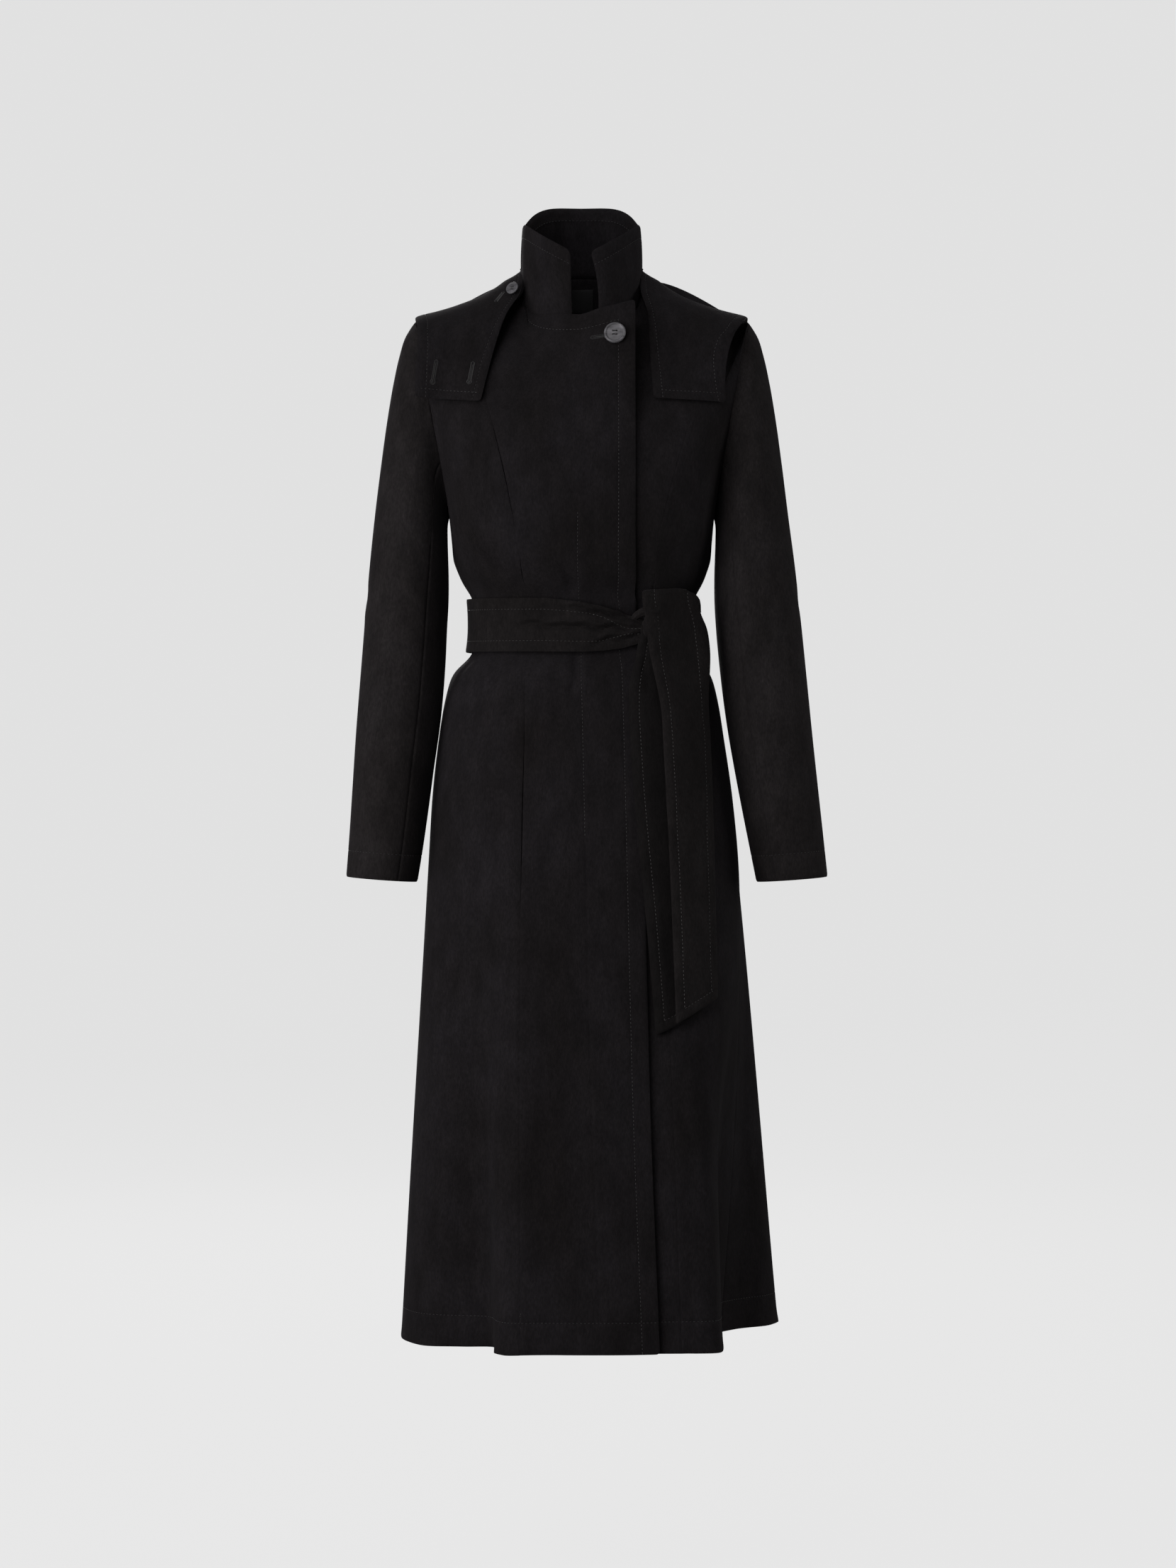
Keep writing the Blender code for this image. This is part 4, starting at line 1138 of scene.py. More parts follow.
def press_crease(names, way, points, width, depth):
    """Push a soft trough, with a lower ridge beside it, into sheets that face a way."""
    way = np.array(way, float)
    side = np.array((-way[1], way[0], 0))
    path, shares = crease_path(points)
    aside = aside_of(path)
    reach = CREASE_REACH * width
    low, high = path.min(0) - reach, path.max(0) + reach
    for name in names:
        sheet = sheets[name]
        flat = np.stack([sheet.points @ side, sheet.points[:, :, 2]], axis=2)
        inside = ((flat > low) & (flat < high)).all(2)
        if not inside.any():
            continue
        normals = normals_of(sheet.points, sheet.closed)
        facing = np.clip((normals @ way - FACING_LOW) / (FACING_HIGH - FACING_LOW), 0, 1)
        near = flat[inside]
        gaps = near[:, None, :] - path[None]
        nearest = np.argmin((gaps ** 2).sum(2), axis=1)
        gap = gaps[np.arange(len(near)), nearest]
        distance = np.linalg.norm(gap, axis=1) * np.sign((gap * aside[nearest]).sum(1))
        strength = np.sin(math.pi * shares[nearest]) ** CREASE_TAPER
        trough = np.exp(-(distance / width) ** 2)
        ridge = np.exp(-((distance - RIDGE_AT * width) / (RIDGE_WIDTH * width)) ** 2)
        push = depth * strength * (trough - RIDGE_SHARE * ridge) * facing[inside]
        sheet.points[inside] -= normals[inside] * push[:, None]


def press_creases(names, way, rows):
    """Press creases one after the other, each given by its points, seen from that way."""
    for crease in named_rows("points width depth", rows):
        press_crease(names, way, *crease)


press_creases(COAT_FRONT, FRONT, [
    # Gathers above and below the belt, in front
    ([(-0.025, -0.308), (-0.021, -0.330), (-0.016, -0.352)], 0.006, 0.0018),
    ([(-0.009, -0.398), (-0.013, -0.428), (-0.017, -0.462)], 0.005, 0.0026),
    ([(-0.108, -0.406), (-0.102, -0.425), (-0.094, -0.446)], 0.006, 0.0022),
    ([(-0.139, -0.443), (-0.128, -0.424), (-0.118, -0.403)], 0.007, 0.0028),
    ([(-0.070, -0.300), (-0.074, -0.325), (-0.076, -0.352)], 0.009, 0.0018),
    ([(0.085, -0.285), (0.092, -0.318), (0.098, -0.350)], 0.009, 0.0020),
    ([(0.030, -0.310), (0.036, -0.330), (0.045, -0.352)], 0.007, 0.0016),
    # Broad soft drags over the chest and the hip
    ([(-0.128, -0.150), (-0.096, -0.205), (-0.064, -0.268)], 0.020, 0.0020),
    ([(0.132, -0.165), (0.106, -0.215), (0.082, -0.275)], 0.022, 0.0020),
    ([(-0.030, -0.130), (-0.014, -0.190), (0.004, -0.262)], 0.024, 0.0014),
    ([(-0.050, -0.470), (-0.058, -0.560), (-0.061, -0.690)], 0.022, 0.0018),
    ([(0.012, -0.460), (0.008, -0.570), (0.013, -0.720)], 0.024, 0.0016),
    # Long soft folds of the skirt
    ([(-0.126, -0.640), (-0.134, -0.840), (-0.142, -1.060)], 0.026, 0.0022),
    ([(-0.020, -0.760), (-0.026, -0.930), (-0.022, -1.130)], 0.030, 0.0018),
    ([(0.044, -0.820), (0.050, -0.960), (0.048, -1.120)], 0.024, 0.0016),
    ([(0.160, -0.700), (0.166, -0.880), (0.170, -1.060)], 0.020, 0.0020),
])
press_creases(("back",), BACK, [
    # Gathers and folds of the back
    ([(0.058, -0.280), (0.052, -0.316), (0.049, -0.352)], 0.006, 0.0030),
    ([(0.010, -0.300), (0.008, -0.326), (0.010, -0.352)], 0.005, 0.0024),
    ([(-0.044, -0.286), (-0.041, -0.318), (-0.037, -0.352)], 0.006, 0.0030),
    ([(-0.092, -0.296), (-0.085, -0.324), (-0.080, -0.352)], 0.007, 0.0022),
    ([(0.102, -0.300), (0.094, -0.328), (0.088, -0.354)], 0.007, 0.0022),
    ([(0.064, -0.400), (0.069, -0.440), (0.078, -0.500)], 0.007, 0.0030),
    ([(-0.002, -0.400), (-0.003, -0.432), (-0.001, -0.474)], 0.006, 0.0024),
    ([(-0.056, -0.400), (-0.062, -0.446), (-0.072, -0.512)], 0.007, 0.0030),
    ([(0.140, -0.200), (0.096, -0.234), (0.050, -0.246)], 0.016, 0.0024),
    ([(-0.138, -0.190), (-0.098, -0.228), (-0.056, -0.243)], 0.017, 0.0022),
    ([(0.084, -0.560), (0.096, -0.800), (0.104, -1.090)], 0.024, 0.0046),
    ([(-0.012, -0.540), (-0.008, -0.820), (-0.016, -1.110)], 0.028, 0.0038),
    ([(-0.094, -0.570), (-0.104, -0.820), (-0.116, -1.080)], 0.024, 0.0050),
])
press_creases(("right_sleeve",), FRONT, [
    # Sleeve caps, elbows and wrists
    ([(-0.196, -0.100), (-0.184, -0.140), (-0.170, -0.184)], 0.011, 0.0020),
    ([(-0.222, -0.330), (-0.204, -0.346), (-0.182, -0.352)], 0.009, 0.0020),
    ([(-0.226, -0.392), (-0.208, -0.384), (-0.188, -0.366)], 0.008, 0.0022),
    ([(-0.238, -0.480), (-0.220, -0.500), (-0.202, -0.510)], 0.010, 0.0014),
])
press_creases(("left_sleeve",), FRONT, [
    ([(0.192, -0.104), (0.182, -0.146), (0.170, -0.190)], 0.011, 0.0020),
    ([(0.222, -0.336), (0.204, -0.352), (0.180, -0.360)], 0.009, 0.0020),
    ([(0.228, -0.402), (0.210, -0.392), (0.188, -0.374)], 0.008, 0.0020),
    ([(0.238, -0.486), (0.222, -0.506), (0.206, -0.514)], 0.010, 0.0014),
])
press_creases(("right_sleeve",), BACK, [
    ([(0.226, -0.318), (0.206, -0.338), (0.182, -0.346)], 0.009, 0.0024),
    ([(0.230, -0.372), (0.210, -0.376), (0.190, -0.362)], 0.008, 0.0024),
    ([(0.196, -0.120), (0.184, -0.160), (0.172, -0.206)], 0.012, 0.0020),
])
press_creases(("left_sleeve",), BACK, [
    ([(-0.226, -0.322), (-0.206, -0.342), (-0.182, -0.350)], 0.009, 0.0024),
    ([(-0.230, -0.378), (-0.210, -0.380), (-0.190, -0.366)], 0.008, 0.0024),
    ([(-0.194, -0.116), (-0.182, -0.158), (-0.172, -0.204)], 0.012, 0.0020),
])
press_creases(("right_sleeve",), RIGHT, [
    ([(0.030, -0.334), (-0.010, -0.352), (-0.046, -0.346)], 0.010, 0.0018),
])
press_creases(("left_sleeve",), LEFT, [
    ([(-0.030, -0.340), (0.010, -0.358), (0.046, -0.350)], 0.010, 0.0018),
])
press_creases(("belt_waist",), FRONT, [
    # Belt folds running together at the knot
    ([(-0.030, -0.3580), (0.025, -0.3655), (0.074, -0.3770)], 0.0024, 0.0052),
    ([(-0.085, -0.3755), (0.010, -0.3795), (0.078, -0.3805)], 0.0027, 0.0060),
    ([(0.000, -0.3970), (0.040, -0.3910), (0.074, -0.3840)], 0.0024, 0.0048),
])
press_creases(("belt_waist",), BACK, [
    ([(0.070, -0.366), (0.000, -0.369), (-0.060, -0.365)], 0.0070, 0.0016),
    ([(0.040, -0.388), (-0.020, -0.384), (-0.090, -0.386)], 0.0065, 0.0014),
])
press_creases(("hood_right", "hood_left"), BACK, [
    # Hood pouch: folds that hang in bows across the back
    ([(0.120, -0.020), (0.010, -0.082), (-0.108, -0.026)], 0.015, 0.0056),
    ([(0.096, -0.070), (0.004, -0.136), (-0.082, -0.078)], 0.014, 0.0062),
    ([(0.070, -0.140), (0.006, -0.180), (-0.058, -0.146)], 0.013, 0.0044),
])
press_creases(("belt_tail_front",), FRONT, [
    # Slow waves in the belt ends
    ([(0.082, -0.470), (0.108, -0.478), (0.134, -0.470)], 0.016, 0.0014),
    ([(0.086, -0.610), (0.112, -0.602), (0.138, -0.612)], 0.018, 0.0012),
])
press_creases(("belt_tail_back",), FRONT, [
    ([(0.067, -0.380), (0.064, -0.412), (0.062, -0.462)], 0.0050, 0.0028),
    ([(0.073, -0.384), (0.079, -0.412), (0.090, -0.448)], 0.0055, 0.0026),
    ([(0.050, -0.560), (0.074, -0.566), (0.098, -0.558)], 0.016, 0.0012),
])


# Cloth pieces

PIECES = named_rows("name material slot held rests_on hem", [
    ("right_side_front", COAT_WOOL, "coat_wool", "hung", ["back"], "hem"),
    ("right_front", COAT_WOOL, "coat_wool", "hung", ["right_side_front", "left_front"], "hem"),
    ("left_front", COAT_WOOL, "coat_wool", "hung", ["left_side_front"], "hem"),
    ("left_side_front", COAT_WOOL, "coat_wool", "hung", ["back"], "hem"),
    ("back", COAT_WOOL, "coat_wool", "hung", ["right_side_front", "left_side_front"], "hem"),
    ("right_sleeve", SLEEVE_LIT_WOOL, "coat_wool", "hung", ["right_side_front", "back"], "cuff"),
    ("left_sleeve", SLEEVE_LIT_WOOL, "coat_wool", "hung", ["left_side_front", "back"], "cuff"),
    ("collar", COAT_WOOL, "coat_wool", "folded", ["back"], None),
    ("hood_right", COAT_WOOL, "coat_wool", "draped", ["right_side_front", "back"], None),
    ("hood_left", COAT_WOOL, "coat_wool", "draped", ["left_side_front", "back"], None),
    ("belt_waist", BELT_WOOL, "belt_wool", "stretched", ["right_front", "back"], None),
    ("belt_tail_front", BELT_WOOL, "belt_wool", "hung", ["belt_waist"], None),
    ("belt_tail_back", BELT_END_SHADED_WOOL, "belt_wool", "hung", ["belt_knot"], None),
    ("neck_label", TAPE, "label_tape", "stretched", ["back"], None),
])


# Stitches

BAR_SIDES = 4
BAR_SHOULDER = 0.62     # share of a bar's half length where its points begin
STILL = 1e-7            # shorter steps along a line are left out
LOOK_AHEAD = 0.0004
STITCH_RISE = 0.6       # share of the thread's radius by which its middle stands above the cloth
WHOLE = (0.0, 1.0)
HOOD_PART = (0.1, 0.9)
TAIL_PARTS = {"low": (0.18, 0.82), "first": (0.025, 1.0), "last": (0.025, 1.0)}
SEWING = named_rows("name edge inset part inside", [
    *((name, "hem", HEM_STITCH, WHOLE, False) for name in COAT_BODY),
    ("right_front", "last", FRONT_STITCH, (0.0, 0.985), False),
    ("right_front", "top", FRONT_STITCH, (0.0, 0.93), False),
    ("right_front", "last", FACING_STITCH, (0.485, 0.665), False),
    ("right_front", "last", FACING_STITCH, (0.71, 0.80), False),
    ("right_sleeve", "cuff", CUFF_STITCH, WHOLE, False),
    ("left_sleeve", "cuff", CUFF_STITCH, WHOLE, False),
    ("collar", "high", COLLAR_STITCH, WHOLE, False),
    ("collar", "high", COLLAR_STITCH, WHOLE, True),
    ("hood_right", "low", FLAP_STITCH, HOOD_PART, False),
    ("hood_right", "first", FACE_STITCH, WHOLE, False),
    ("hood_right", "last", FLAP_STITCH, WHOLE, False),
    ("hood_left", "low", FLAP_STITCH, HOOD_PART, False),
    ("hood_left", "first", FLAP_STITCH, WHOLE, False),
    ("hood_left", "last", FACE_STITCH, WHOLE, False),
    ("belt_waist", "low", BELT_STITCH, WHOLE, False),
    ("belt_waist", "high", BELT_STITCH, WHOLE, False),
    *((name, edge, TAIL_STITCH, part, False) for name in ("belt_tail_front", "belt_tail_back")
      for edge, part in TAIL_PARTS.items()),
])


def bars(centres, along, up, length, radius):
    """Mesh data of small bars with pointed ends, lying on the cloth."""
    along = unit(along)
    up = unit(up - along * (up * along).sum(1)[:, None])
    side = np.cross(along, up)
    half = np.broadcast_to(np.asarray(length) / 2, (len(centres),))[:, None]
    verts = [centres - along * half]
    for share in (-BAR_SHOULDER, BAR_SHOULDER):
        for turn in range(BAR_SIDES):
            angle = turn * math.tau / BAR_SIDES
            offset = side * math.cos(angle) + up * math.sin(angle)
            verts.append(centres + along * half * share + offset * radius)
    verts.append(centres + along * half)
    far = 1 + BAR_SIDES
    tip = far + BAR_SIDES
    faces = []
    for first in range(BAR_SIDES):
        second = (first + 1) % BAR_SIDES
        faces.append((0, 1 + second, 1 + first))
        faces.append((1 + first, 1 + second, far + second, far + first))
        faces.append((tip, far + first, far + second))
    polys = [[len(verts) * k + i for i in face] for k in range(len(centres)) for face in faces]
    return np.stack(verts, axis=1).reshape(-1, 3), polys


def evenly(points, normals, pitch, start, stop):
    """Places, directions and normals at an even pitch along part of a line."""
    keep = np.concatenate([[True], np.diff(run_of(points)) > STILL])
    points, normals = points[keep], normals[keep]
    knots = run_of(points)
    at = np.arange(knots[-1] * start + pitch / 2, knots[-1] * stop, pitch)

    def read(values, places):
        return np.stack([np.interp(places, knots, values[:, k]) for k in range(3)], axis=1)

    ahead = read(points, at + LOOK_AHEAD)
    behind = read(points, at - LOOK_AHEAD)
    return (ahead + behind) / 2, ahead - behind, read(normals, at)


def sew(name):
    """Stitches of one cloth piece as one piece of thread."""
    verts, faces = [], []
    count = 0
    sheet = sheets[name]
    for row in SEWING:
        if row.name != name:
            continue
        points, normals = sheet.line(stitch_line(row.edge, row.inset))
        if row.inside:
            points = points - normals * (sheet.wall + STITCH_SINK)
            normals = -normals
        centres, along, up = evenly(points, normals, STITCH_PITCH, *row.part)
        centres = centres + up * STITCH_RADIUS * STITCH_RISE
        more, polys = bars(centres, along, up, STITCH_LENGTH, STITCH_RADIUS)
        verts.append(more)
        faces += [[index + count for index in poly] for poly in polys]
        count += len(more)
    if not verts:
        return None
    material = BELT_THREAD if name.startswith("belt") else THREAD
    return add_mesh(name + "_stitches", np.concatenate(verts), faces, material)


for piece in PIECES:
    sheet = sheets[piece.name]
    if piece.hem == "hem":
        sheet.thicken_hem(stitch_line("hem", HEM_STITCH), True)
    if piece.hem == "cuff":
        sheet.thicken_hem(stitch_line("cuff", CUFF_STITCH), False)
    made = sheet.build(piece.material)
    carry(made, piece.slot, piece.name)
    thread = sew(piece.name)
    if thread is not None:
        carry(thread, piece.slot)


# Buttons

BUTTON_PROFILE = (
    (0.0, 0.0), (0.78, 0.0), (0.93, 0.03), (0.99, 0.09), (1.0, 0.15), (0.985, 0.21), (0.945, 0.262),
    (0.89, 0.283), (0.83, 0.276), (0.785, 0.245), (0.755, 0.212), (0.71, 0.202), (0.60, 0.214),
    (0.40, 0.206), (0.20, 0.200), (0.0, 0.198),
)
BUTTON_SIDES = 64
HOLE_OFFSET = 0.17
HOLE_RADIUS = 0.078
HOLE_SIDES = 16
HOLE_DEPTH = 1.0
THREAD_STRANDS = (-0.03, 0.03)
THREAD_RADIUS = 0.00034
THREAD_RISE = 0.4
THREAD_SLANT = 0.12
THREAD_EXTRA = 0.0008
BUTTONS = named_rows("name look lift", [
    ("button_front", None, 0.0),
    ("button_collar", (-0.45, -0.78, 0.42), 0.003),     # tilted to lie on the hood, and lifted clear of it
])


def button_place(row):
    """Middle, facing and radius of a packed button, and how far its back lies behind the middle."""
    points = np.array([vertex.co for vertex in frame["nodes"][row.name].data.vertices])
    middle = points.mean(0)
    axis = np.linalg.svd(points - middle, full_matrices=False)[2][2]
    if axis[1] > 0:
        axis = -axis
    heights = (points - middle) @ axis
    radius = np.linalg.norm((points - middle) - heights[:, None] * axis, axis=1).max()
    if row.look is not None:
        axis = unit(np.array(row.look))
    return Vector(middle), Vector(axis), float(radius), float(heights.min())


def lathe(profile, radius, sides):
    """Closed turned form from a profile that starts and ends on the axis."""
    shape = bmesh.new()
    rings = []
    for share, height in profile:
        places = circle(share * radius, height * radius, sides if share else 1)
        rings.append([shape.verts.new(place) for place in places])
    join_rings(shape, rings)
    return shape


def with_holes(made, radius):
    """Drill the four thread holes."""
    drill = bmesh.new()
    for x in (-1, 1):
        for y in (-1, 1):
            place = Matrix.Translation((x * HOLE_OFFSET * radius, y * HOLE_OFFSET * radius, 0))
            bmesh.ops.create_cone(drill, cap_ends=True, segments=HOLE_SIDES, radius1=HOLE_RADIUS * radius,
                                  radius2=HOLE_RADIUS * radius, depth=HOLE_DEPTH * radius, matrix=place)
    mesh = bpy.data.meshes.new("drill")
    drill.to_mesh(mesh)
    drill.free()
    cutter = bpy.data.objects.new("drill", mesh)
    bpy.context.scene.collection.objects.link(cutter)
    change = made.modifiers.new("holes", "BOOLEAN")
    change.object = cutter
    change.operation = "DIFFERENCE"
    change.solver = "EXACT"
    view = bpy.context.evaluated_depsgraph_get()
    drilled = bpy.data.meshes.new_from_object(made.evaluated_get(view))
    made.modifiers.clear()
    made.data = drilled
    bpy.data.objects.remove(cutter, do_unlink=True)
    drilled.shade_smooth()
    drilled.set_sharp_from_angle(angle=SHARP_HORN)


def add_button(row):
    middle, axis, radius, bottom = button_place(row)
    shape = lathe(BUTTON_PROFILE, radius, BUTTON_SIDES)
    bmesh.ops.recalc_face_normals(shape, faces=shape.faces)
    made = add_shape(row.name + "_horn", shape, HORN)
    with_holes(made, radius)
    turned = axis.to_track_quat("Z", "Y").to_matrix().to_4x4()
    place = Matrix.Translation(middle + axis * (bottom + row.lift)) @ turned
    made.data.transform(place)
    carry(made, "button_horn", row.name)
    top = BUTTON_PROFILE[-1][1] * radius
    hole = HOLE_OFFSET * radius
    strands = []
    for y in (-1, 1):
        for aside in THREAD_STRANDS:
            centre = (0, (y * HOLE_OFFSET + aside) * radius, top + THREAD_RADIUS * THREAD_RISE)
            strands.append((centre, (1, THREAD_SLANT * y, 0), (0, 0, 1), 2 * hole + THREAD_EXTRA))
    for x in (-1, 1):
        for y in (-1, 1):
            strands.append(((x * hole, y * hole, (top + bottom) / 2), (0, 0, 1), (1, 0, 0), top - bottom))
    columns = [np.array(column, float) for column in zip(*strands)]
    thread = add_mesh(row.name + "_thread", *bars(*columns, THREAD_RADIUS), DARK_THREAD)
    thread.data.transform(place)
    carry(thread, "button_horn")


for row in BUTTONS:
    add_button(row)


# Buttonholes

SATIN_PITCH = 0.00050
SATIN_LENGTH = 0.0015
SATIN_RADIUS = 0.00026
SLIT_HALF = 0.00085
LIP = 0.00090
SATIN_RISE = 0.7
SLIT_DEPTH = 0.0003
SLIT_SEGMENTS = (24, 10)
END_BARS = 4
EYE_STEPS = 28
EYE_OPEN = 0.86         # share of the eye that is left open
BUTTONHOLES = named_rows("name sheet start end eye", [
    ("keyhole_outer", "hood_right", (-0.1647, -0.0868), (-0.1687, -0.1098), 0.0019),
    ("keyhole_inner", "hood_right", (-0.1246, -0.0890), (-0.1285, -0.1106), 0.0019),
    ("buttonhole_front", "right_front", (0.0052, -0.0632), (0.0300, -0.0606), 0.0),
    ("buttonhole_neck", "hood_right", (-0.1004, -0.0178), (-0.0925, -0.0060), 0.0),
])


def hole_outline(length, eye):
    """Points and outward ways round a buttonhole: a straight slot, with a round eye where it has one."""
    places, ways = [], []
    half = LIP
    reach = length
    if eye:
        reach -= math.sqrt(max(eye ** 2 - half ** 2, 0))
    count = int(reach / SATIN_PITCH)
    for k in range(count + 1):
        places.append((reach * k / count, half))
        ways.append((0, 1))
    if eye:
        open_turn = math.pi - math.asin(half / eye)
        for k in range(EYE_STEPS + 1):
            turn = open_turn - 2 * open_turn * k / EYE_STEPS
            places.append((length + eye * math.cos(turn), eye * math.sin(turn)))
            ways.append((math.cos(turn), math.sin(turn)))
    for k in range(count, -1, -1):
        places.append((reach * k / count, -half))
        ways.append((0, -1))
    ends = (0.0,) if eye else (0.0, length)
    for end in ends:
        for across in np.linspace(-half, half, END_BARS):
            places.append((end, across))
            ways.append((1 if end else -1, 0))
    return np.array(places), np.array(ways, float)


def add_buttonhole(row):
    """Satin stitches round a buttonhole, and a near-black sheet laid on the cloth between them that paints
    the shade of the slit.
    """
    sheet = sheets[row.sheet]
    tree = BVHTree.FromPolygons(sheet.points.reshape(-1, 3).tolist(), sheet.cells().tolist())
    ends = []
    for x, z in (row.start, row.end):
        hit = tree.ray_cast(Vector((x, -1, z)), Vector((0, 1, 0)))
        ends.append((hit[0], hit[1]))
    start, facing = ends[0]
    if facing.y > 0:
        facing = -facing
    along = ends[1][0] - start
    length = along.length
    along.normalize()
    across = facing.cross(along).normalized()
    places, ways = hole_outline(length, row.eye)
    centres, turns, ups = [], [], []
    for (s, t), (ws, wt) in zip(places, ways):
        way = along * ws + across * wt
        point, normal, _, _ = tree.find_nearest(start + along * s + across * t + way * SATIN_LENGTH / 2)
        normal = normal if normal.dot(facing) > 0 else -normal
        centres.append(point + normal * SATIN_RADIUS * SATIN_RISE)
        turns.append(way)
        ups.append(normal)
    satin = bars(np.array(centres), np.array(turns), np.array(ups), SATIN_LENGTH, SATIN_RADIUS)
    carry(add_mesh(row.name + "_thread", *satin, THREAD), "coat_wool")
    # Near-black sheet in the slit: painted shade of the gap
    shape = bmesh.new()
    basis = Matrix((along, across, facing)).transposed().to_4x4()
    forms = [(length / 2, length / 2, SLIT_HALF)]
    if row.eye:
        forms.append((length, row.eye * EYE_OPEN, row.eye * EYE_OPEN))
    for centre, half, wide in forms:
        point, _, _, _ = tree.find_nearest(start + along * centre)
        place = Matrix.Translation(point) @ basis @ Matrix.Diagonal((half, wide, SLIT_DEPTH, 1))
        bmesh.ops.create_uvsphere(shape, u_segments=SLIT_SEGMENTS[0], v_segments=SLIT_SEGMENTS[1], radius=1,
                                  matrix=place)
    carry(add_shape(row.name + "_slit", shape, SLIT_SHADE), "coat_wool")


for row in BUTTONHOLES:
    add_buttonhole(row)


# Knot

KNOT_CORE = Vector((0.0690, -0.1030, -0.3780))
KNOT_HALF = Vector((0.0085, 0.0055, 0.0125))
KNOT_SQUARENESS = 0.78
KNOT_TURNS = 40
KNOT_LEVELS = 32
KNOT_PLEATS = 3.5
KNOT_PLEAT_DEPTH = 0.085
KNOT_SLANT = 1.1
KNOT_PHASE = 0.6
LOOP_PATH = ((0.0500, -0.1010, -0.3705), (0.0560, -0.1060, -0.3655), (0.0630, -0.1085, -0.3625),
             (0.0700, -0.1080, -0.3625), (0.0770, -0.1030, -0.3650))
LOOP_WIDTHS = (0.0030, 0.0042, 0.0048, 0.0048, 0.0040)
LOOP_DEPTHS = (0.0018, 0.0026, 0.0028, 0.0026, 0.0022)
LOOP_STEPS = 40
LOOP_SIDES = 32
LOOP_PLEATS = 3
LOOP_PLEAT_DEPTH = 0.16
LOOP_PLEAT_DRIFT = 0.05
LOOP_ROUNDING = 4       # steps over which the loop's ends round off


def knot_core(shape):
    """Bunched belt cloth with slanting pleats."""
    rings = []
    for level in range(KNOT_LEVELS + 1):
        tilt = math.pi * level / KNOT_LEVELS - math.pi / 2
        ring = []
        for k in range(KNOT_TURNS):
            turn = math.tau * k / KNOT_TURNS
            way = Vector((math.cos(tilt) * math.cos(turn), math.cos(tilt) * math.sin(turn), math.sin(tilt)))
            way = Vector([math.copysign(abs(value) ** KNOT_SQUARENESS, value) for value in way])
            wave = math.sin(KNOT_PLEATS * 2 * (way.x + KNOT_SLANT * way.z) + KNOT_PHASE)
            swell = 1 + KNOT_PLEAT_DEPTH * wave * math.cos(tilt)
            ring.append(shape.verts.new(KNOT_CORE + way * KNOT_HALF * swell))
            if level in (0, KNOT_LEVELS):
                break
        rings.append(ring)
    join_rings(shape, rings)


def knot_loop(shape):
    """Strip of belt that goes up from the knot and over the front end's top."""
    path = np.array(LOOP_PATH)
    knots = run_of(path)
    at = np.linspace(0, knots[-1], LOOP_STEPS)
    points = spline(path, knots, at)
    along = unit(np.gradient(points, axis=0))
    widths = np.interp(at, knots, LOOP_WIDTHS)
    depths = np.interp(at, knots, LOOP_DEPTHS)
    rings = [[shape.verts.new(points[0])]]
    for k, (point, way) in enumerate(zip(points, along)):
        side = unit(np.cross(way, FRONT))
        out = np.cross(side, way)
        ease_in = math.sqrt(min(1, (k + 1) / LOOP_ROUNDING, (LOOP_STEPS - k) / LOOP_ROUNDING))
        ring = []
        for turn in np.linspace(0, math.tau, LOOP_SIDES, endpoint=False):
            wave = math.sin(LOOP_PLEATS * 2 * math.cos(turn) + k * LOOP_PLEAT_DRIFT)
            ripple = 1 + LOOP_PLEAT_DEPTH * wave * max(0, math.sin(turn))
            offset = side * widths[k] * math.cos(turn) + out * depths[k] * ripple * math.sin(turn)
            ring.append(shape.verts.new(point + offset * ease_in))
        rings.append(ring)
    rings.append([shape.verts.new(points[-1])])
    join_rings(shape, rings)


knot_shape = bmesh.new()
knot_core(knot_shape)
knot_loop(knot_shape)
bmesh.ops.recalc_face_normals(knot_shape, faces=knot_shape.faces)
knot_area = sum(face.calc_area() for face in knot_shape.faces) / 2
knot = add_shape("belt_knot_cloth", knot_shape, BELT_WOOL)
carry(knot, "belt_wool", "belt_knot")


# Camera, room and light

camera_data = bpy.data.cameras.new("camera")
camera_data.lens = LENS
camera_data.sensor_width = SENSOR
camera = bpy.data.objects.new("camera", camera_data)
camera.location = CAMERA_PLACE
camera.rotation_euler = (math.pi / 2, 0, 0)
bpy.context.scene.collection.objects.link(camera)
bpy.context.scene.camera = camera


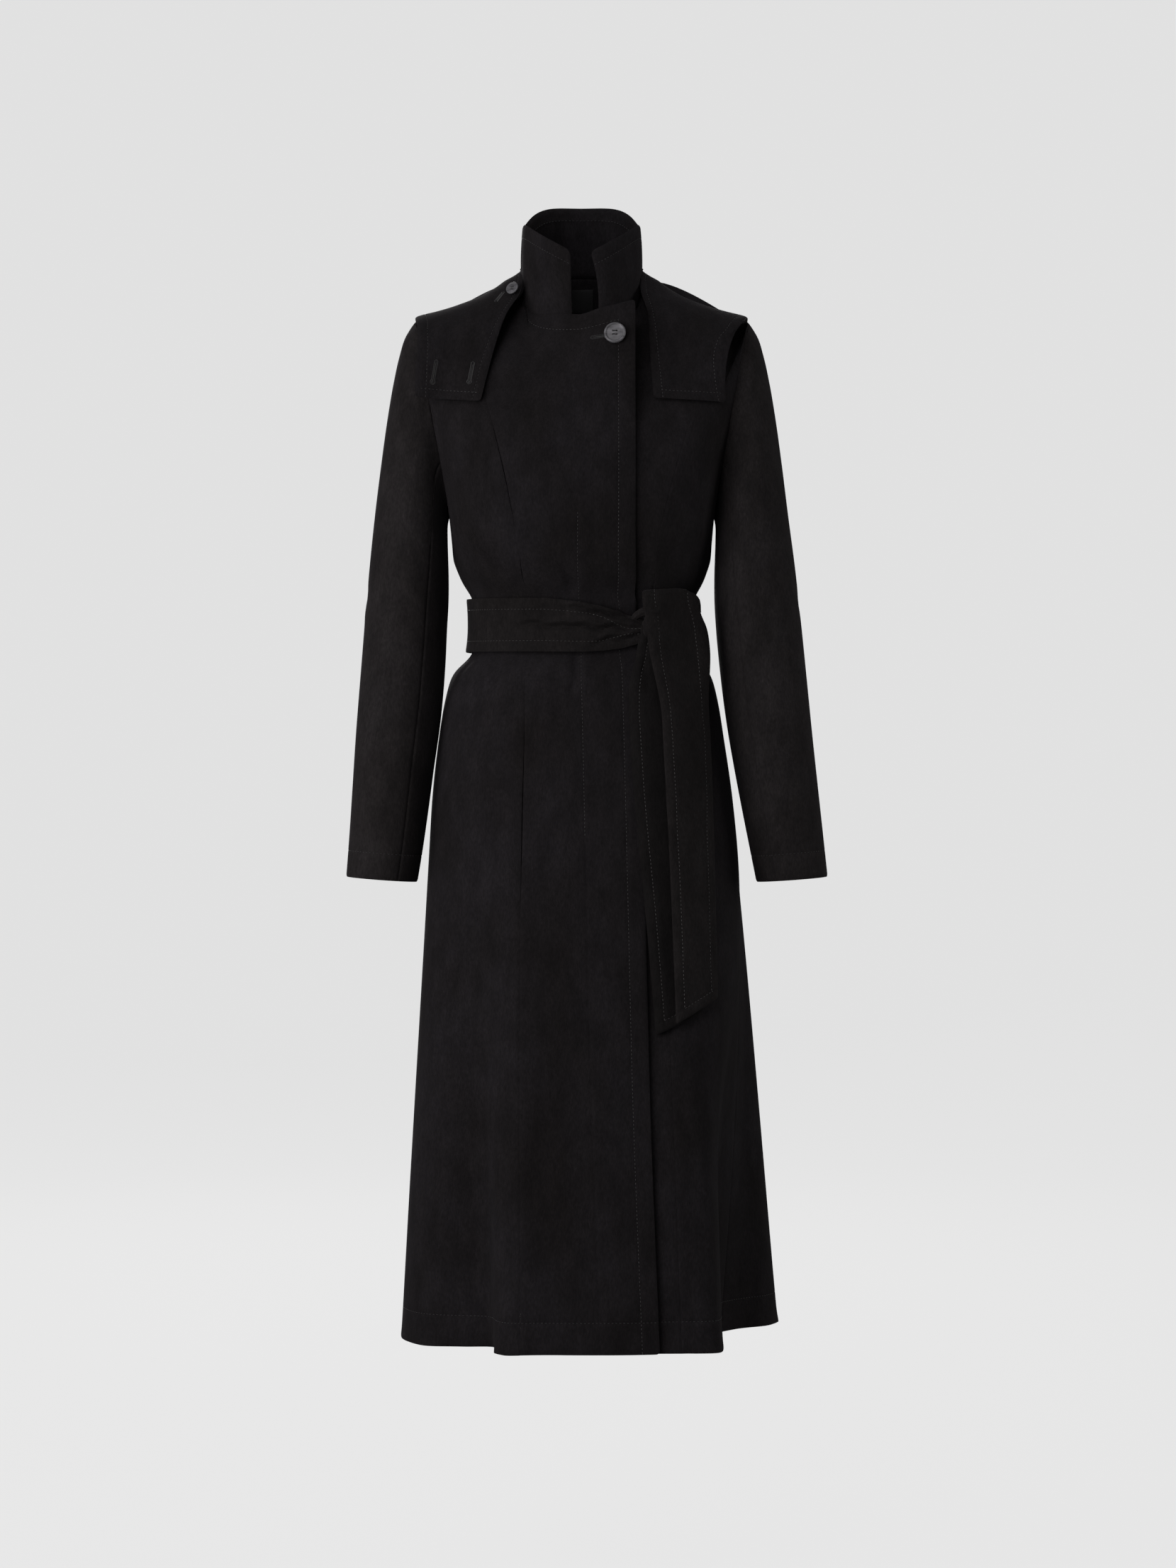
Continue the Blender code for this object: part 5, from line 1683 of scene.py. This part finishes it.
def build_room():
    """Round paper floor that bends up into a wall all the way round."""
    flat = ROOM_RADIUS - ROOM_BEND
    profile = [(radius, 0.0) for radius in (*ROOM_FLOOR_RINGS, flat)]
    for k in range(1, ROOM_BEND_STEPS + 1):
        angle = math.pi / 2 * k / ROOM_BEND_STEPS
        profile.append((flat + ROOM_BEND * math.sin(angle), ROOM_BEND * (1 - math.cos(angle))))
    profile.append((ROOM_RADIUS, ROOM_HEIGHT))
    shape = bmesh.new()
    rings = []
    for radius, height in profile:
        places = circle(radius, ROOM_FLOOR_Z + height, ROOM_SIDES)
        rings.append([shape.verts.new(place) for place in places])
    shape.faces.new(rings[0])
    join_rings(shape, rings)
    return add_shape("studio_room", shape, PAPER)


room = build_room()
room.visible_diffuse = False
room.visible_glossy = False

LIGHTS = named_rows("name place aim size power colour", [
    ("key", (-1.45, -1.45, -0.40), (0.0, 0.0, -0.55), 1.8, 23, (1.0, 0.975, 0.98)),
    ("front", (-0.9, -3.6, 2.0), (0.0, 0.0, -0.5), 1.8, 24, (1.0, 0.98, 1.0)),
    ("fill", (4.0, -0.4, 0.0), (0.0, 0.0, -0.6), 2.0, 30, (1.0, 0.98, 0.96)),
    ("top", (-0.3, -0.4, 3.0), (0.0, 0.0, -0.3), 2.4, 7, (0.94, 0.96, 1.0)),
    ("behind", (-0.6, 4.4, 1.3), (0.0, 0.0, -0.5), 2.4, 80, (1.0, 0.99, 0.99)),
])
for light in LIGHTS:
    data = bpy.data.lights.new(light.name, "AREA")
    data.shape = "DISK"
    data.size = light.size
    data.energy = light.power
    data.color = light.colour
    lamp = bpy.data.objects.new(light.name, data)
    lamp.location = light.place
    lamp.rotation_euler = (Vector(light.aim) - Vector(light.place)).to_track_quat("-Z", "Y").to_euler()
    lamp.visible_camera = False
    bpy.context.scene.collection.objects.link(lamp)

world = bpy.data.worlds.new("studio")
world.use_nodes = True
background = world.node_tree.nodes["Background"]
background.inputs["Color"].default_value = (1.0, 0.97, 0.98, 1)
background.inputs["Strength"].default_value = WORLD_GLOW
bpy.context.scene.world = world
bpy.context.scene.view_settings.view_transform = "Standard"
bpy.context.scene.view_settings.look = "None"
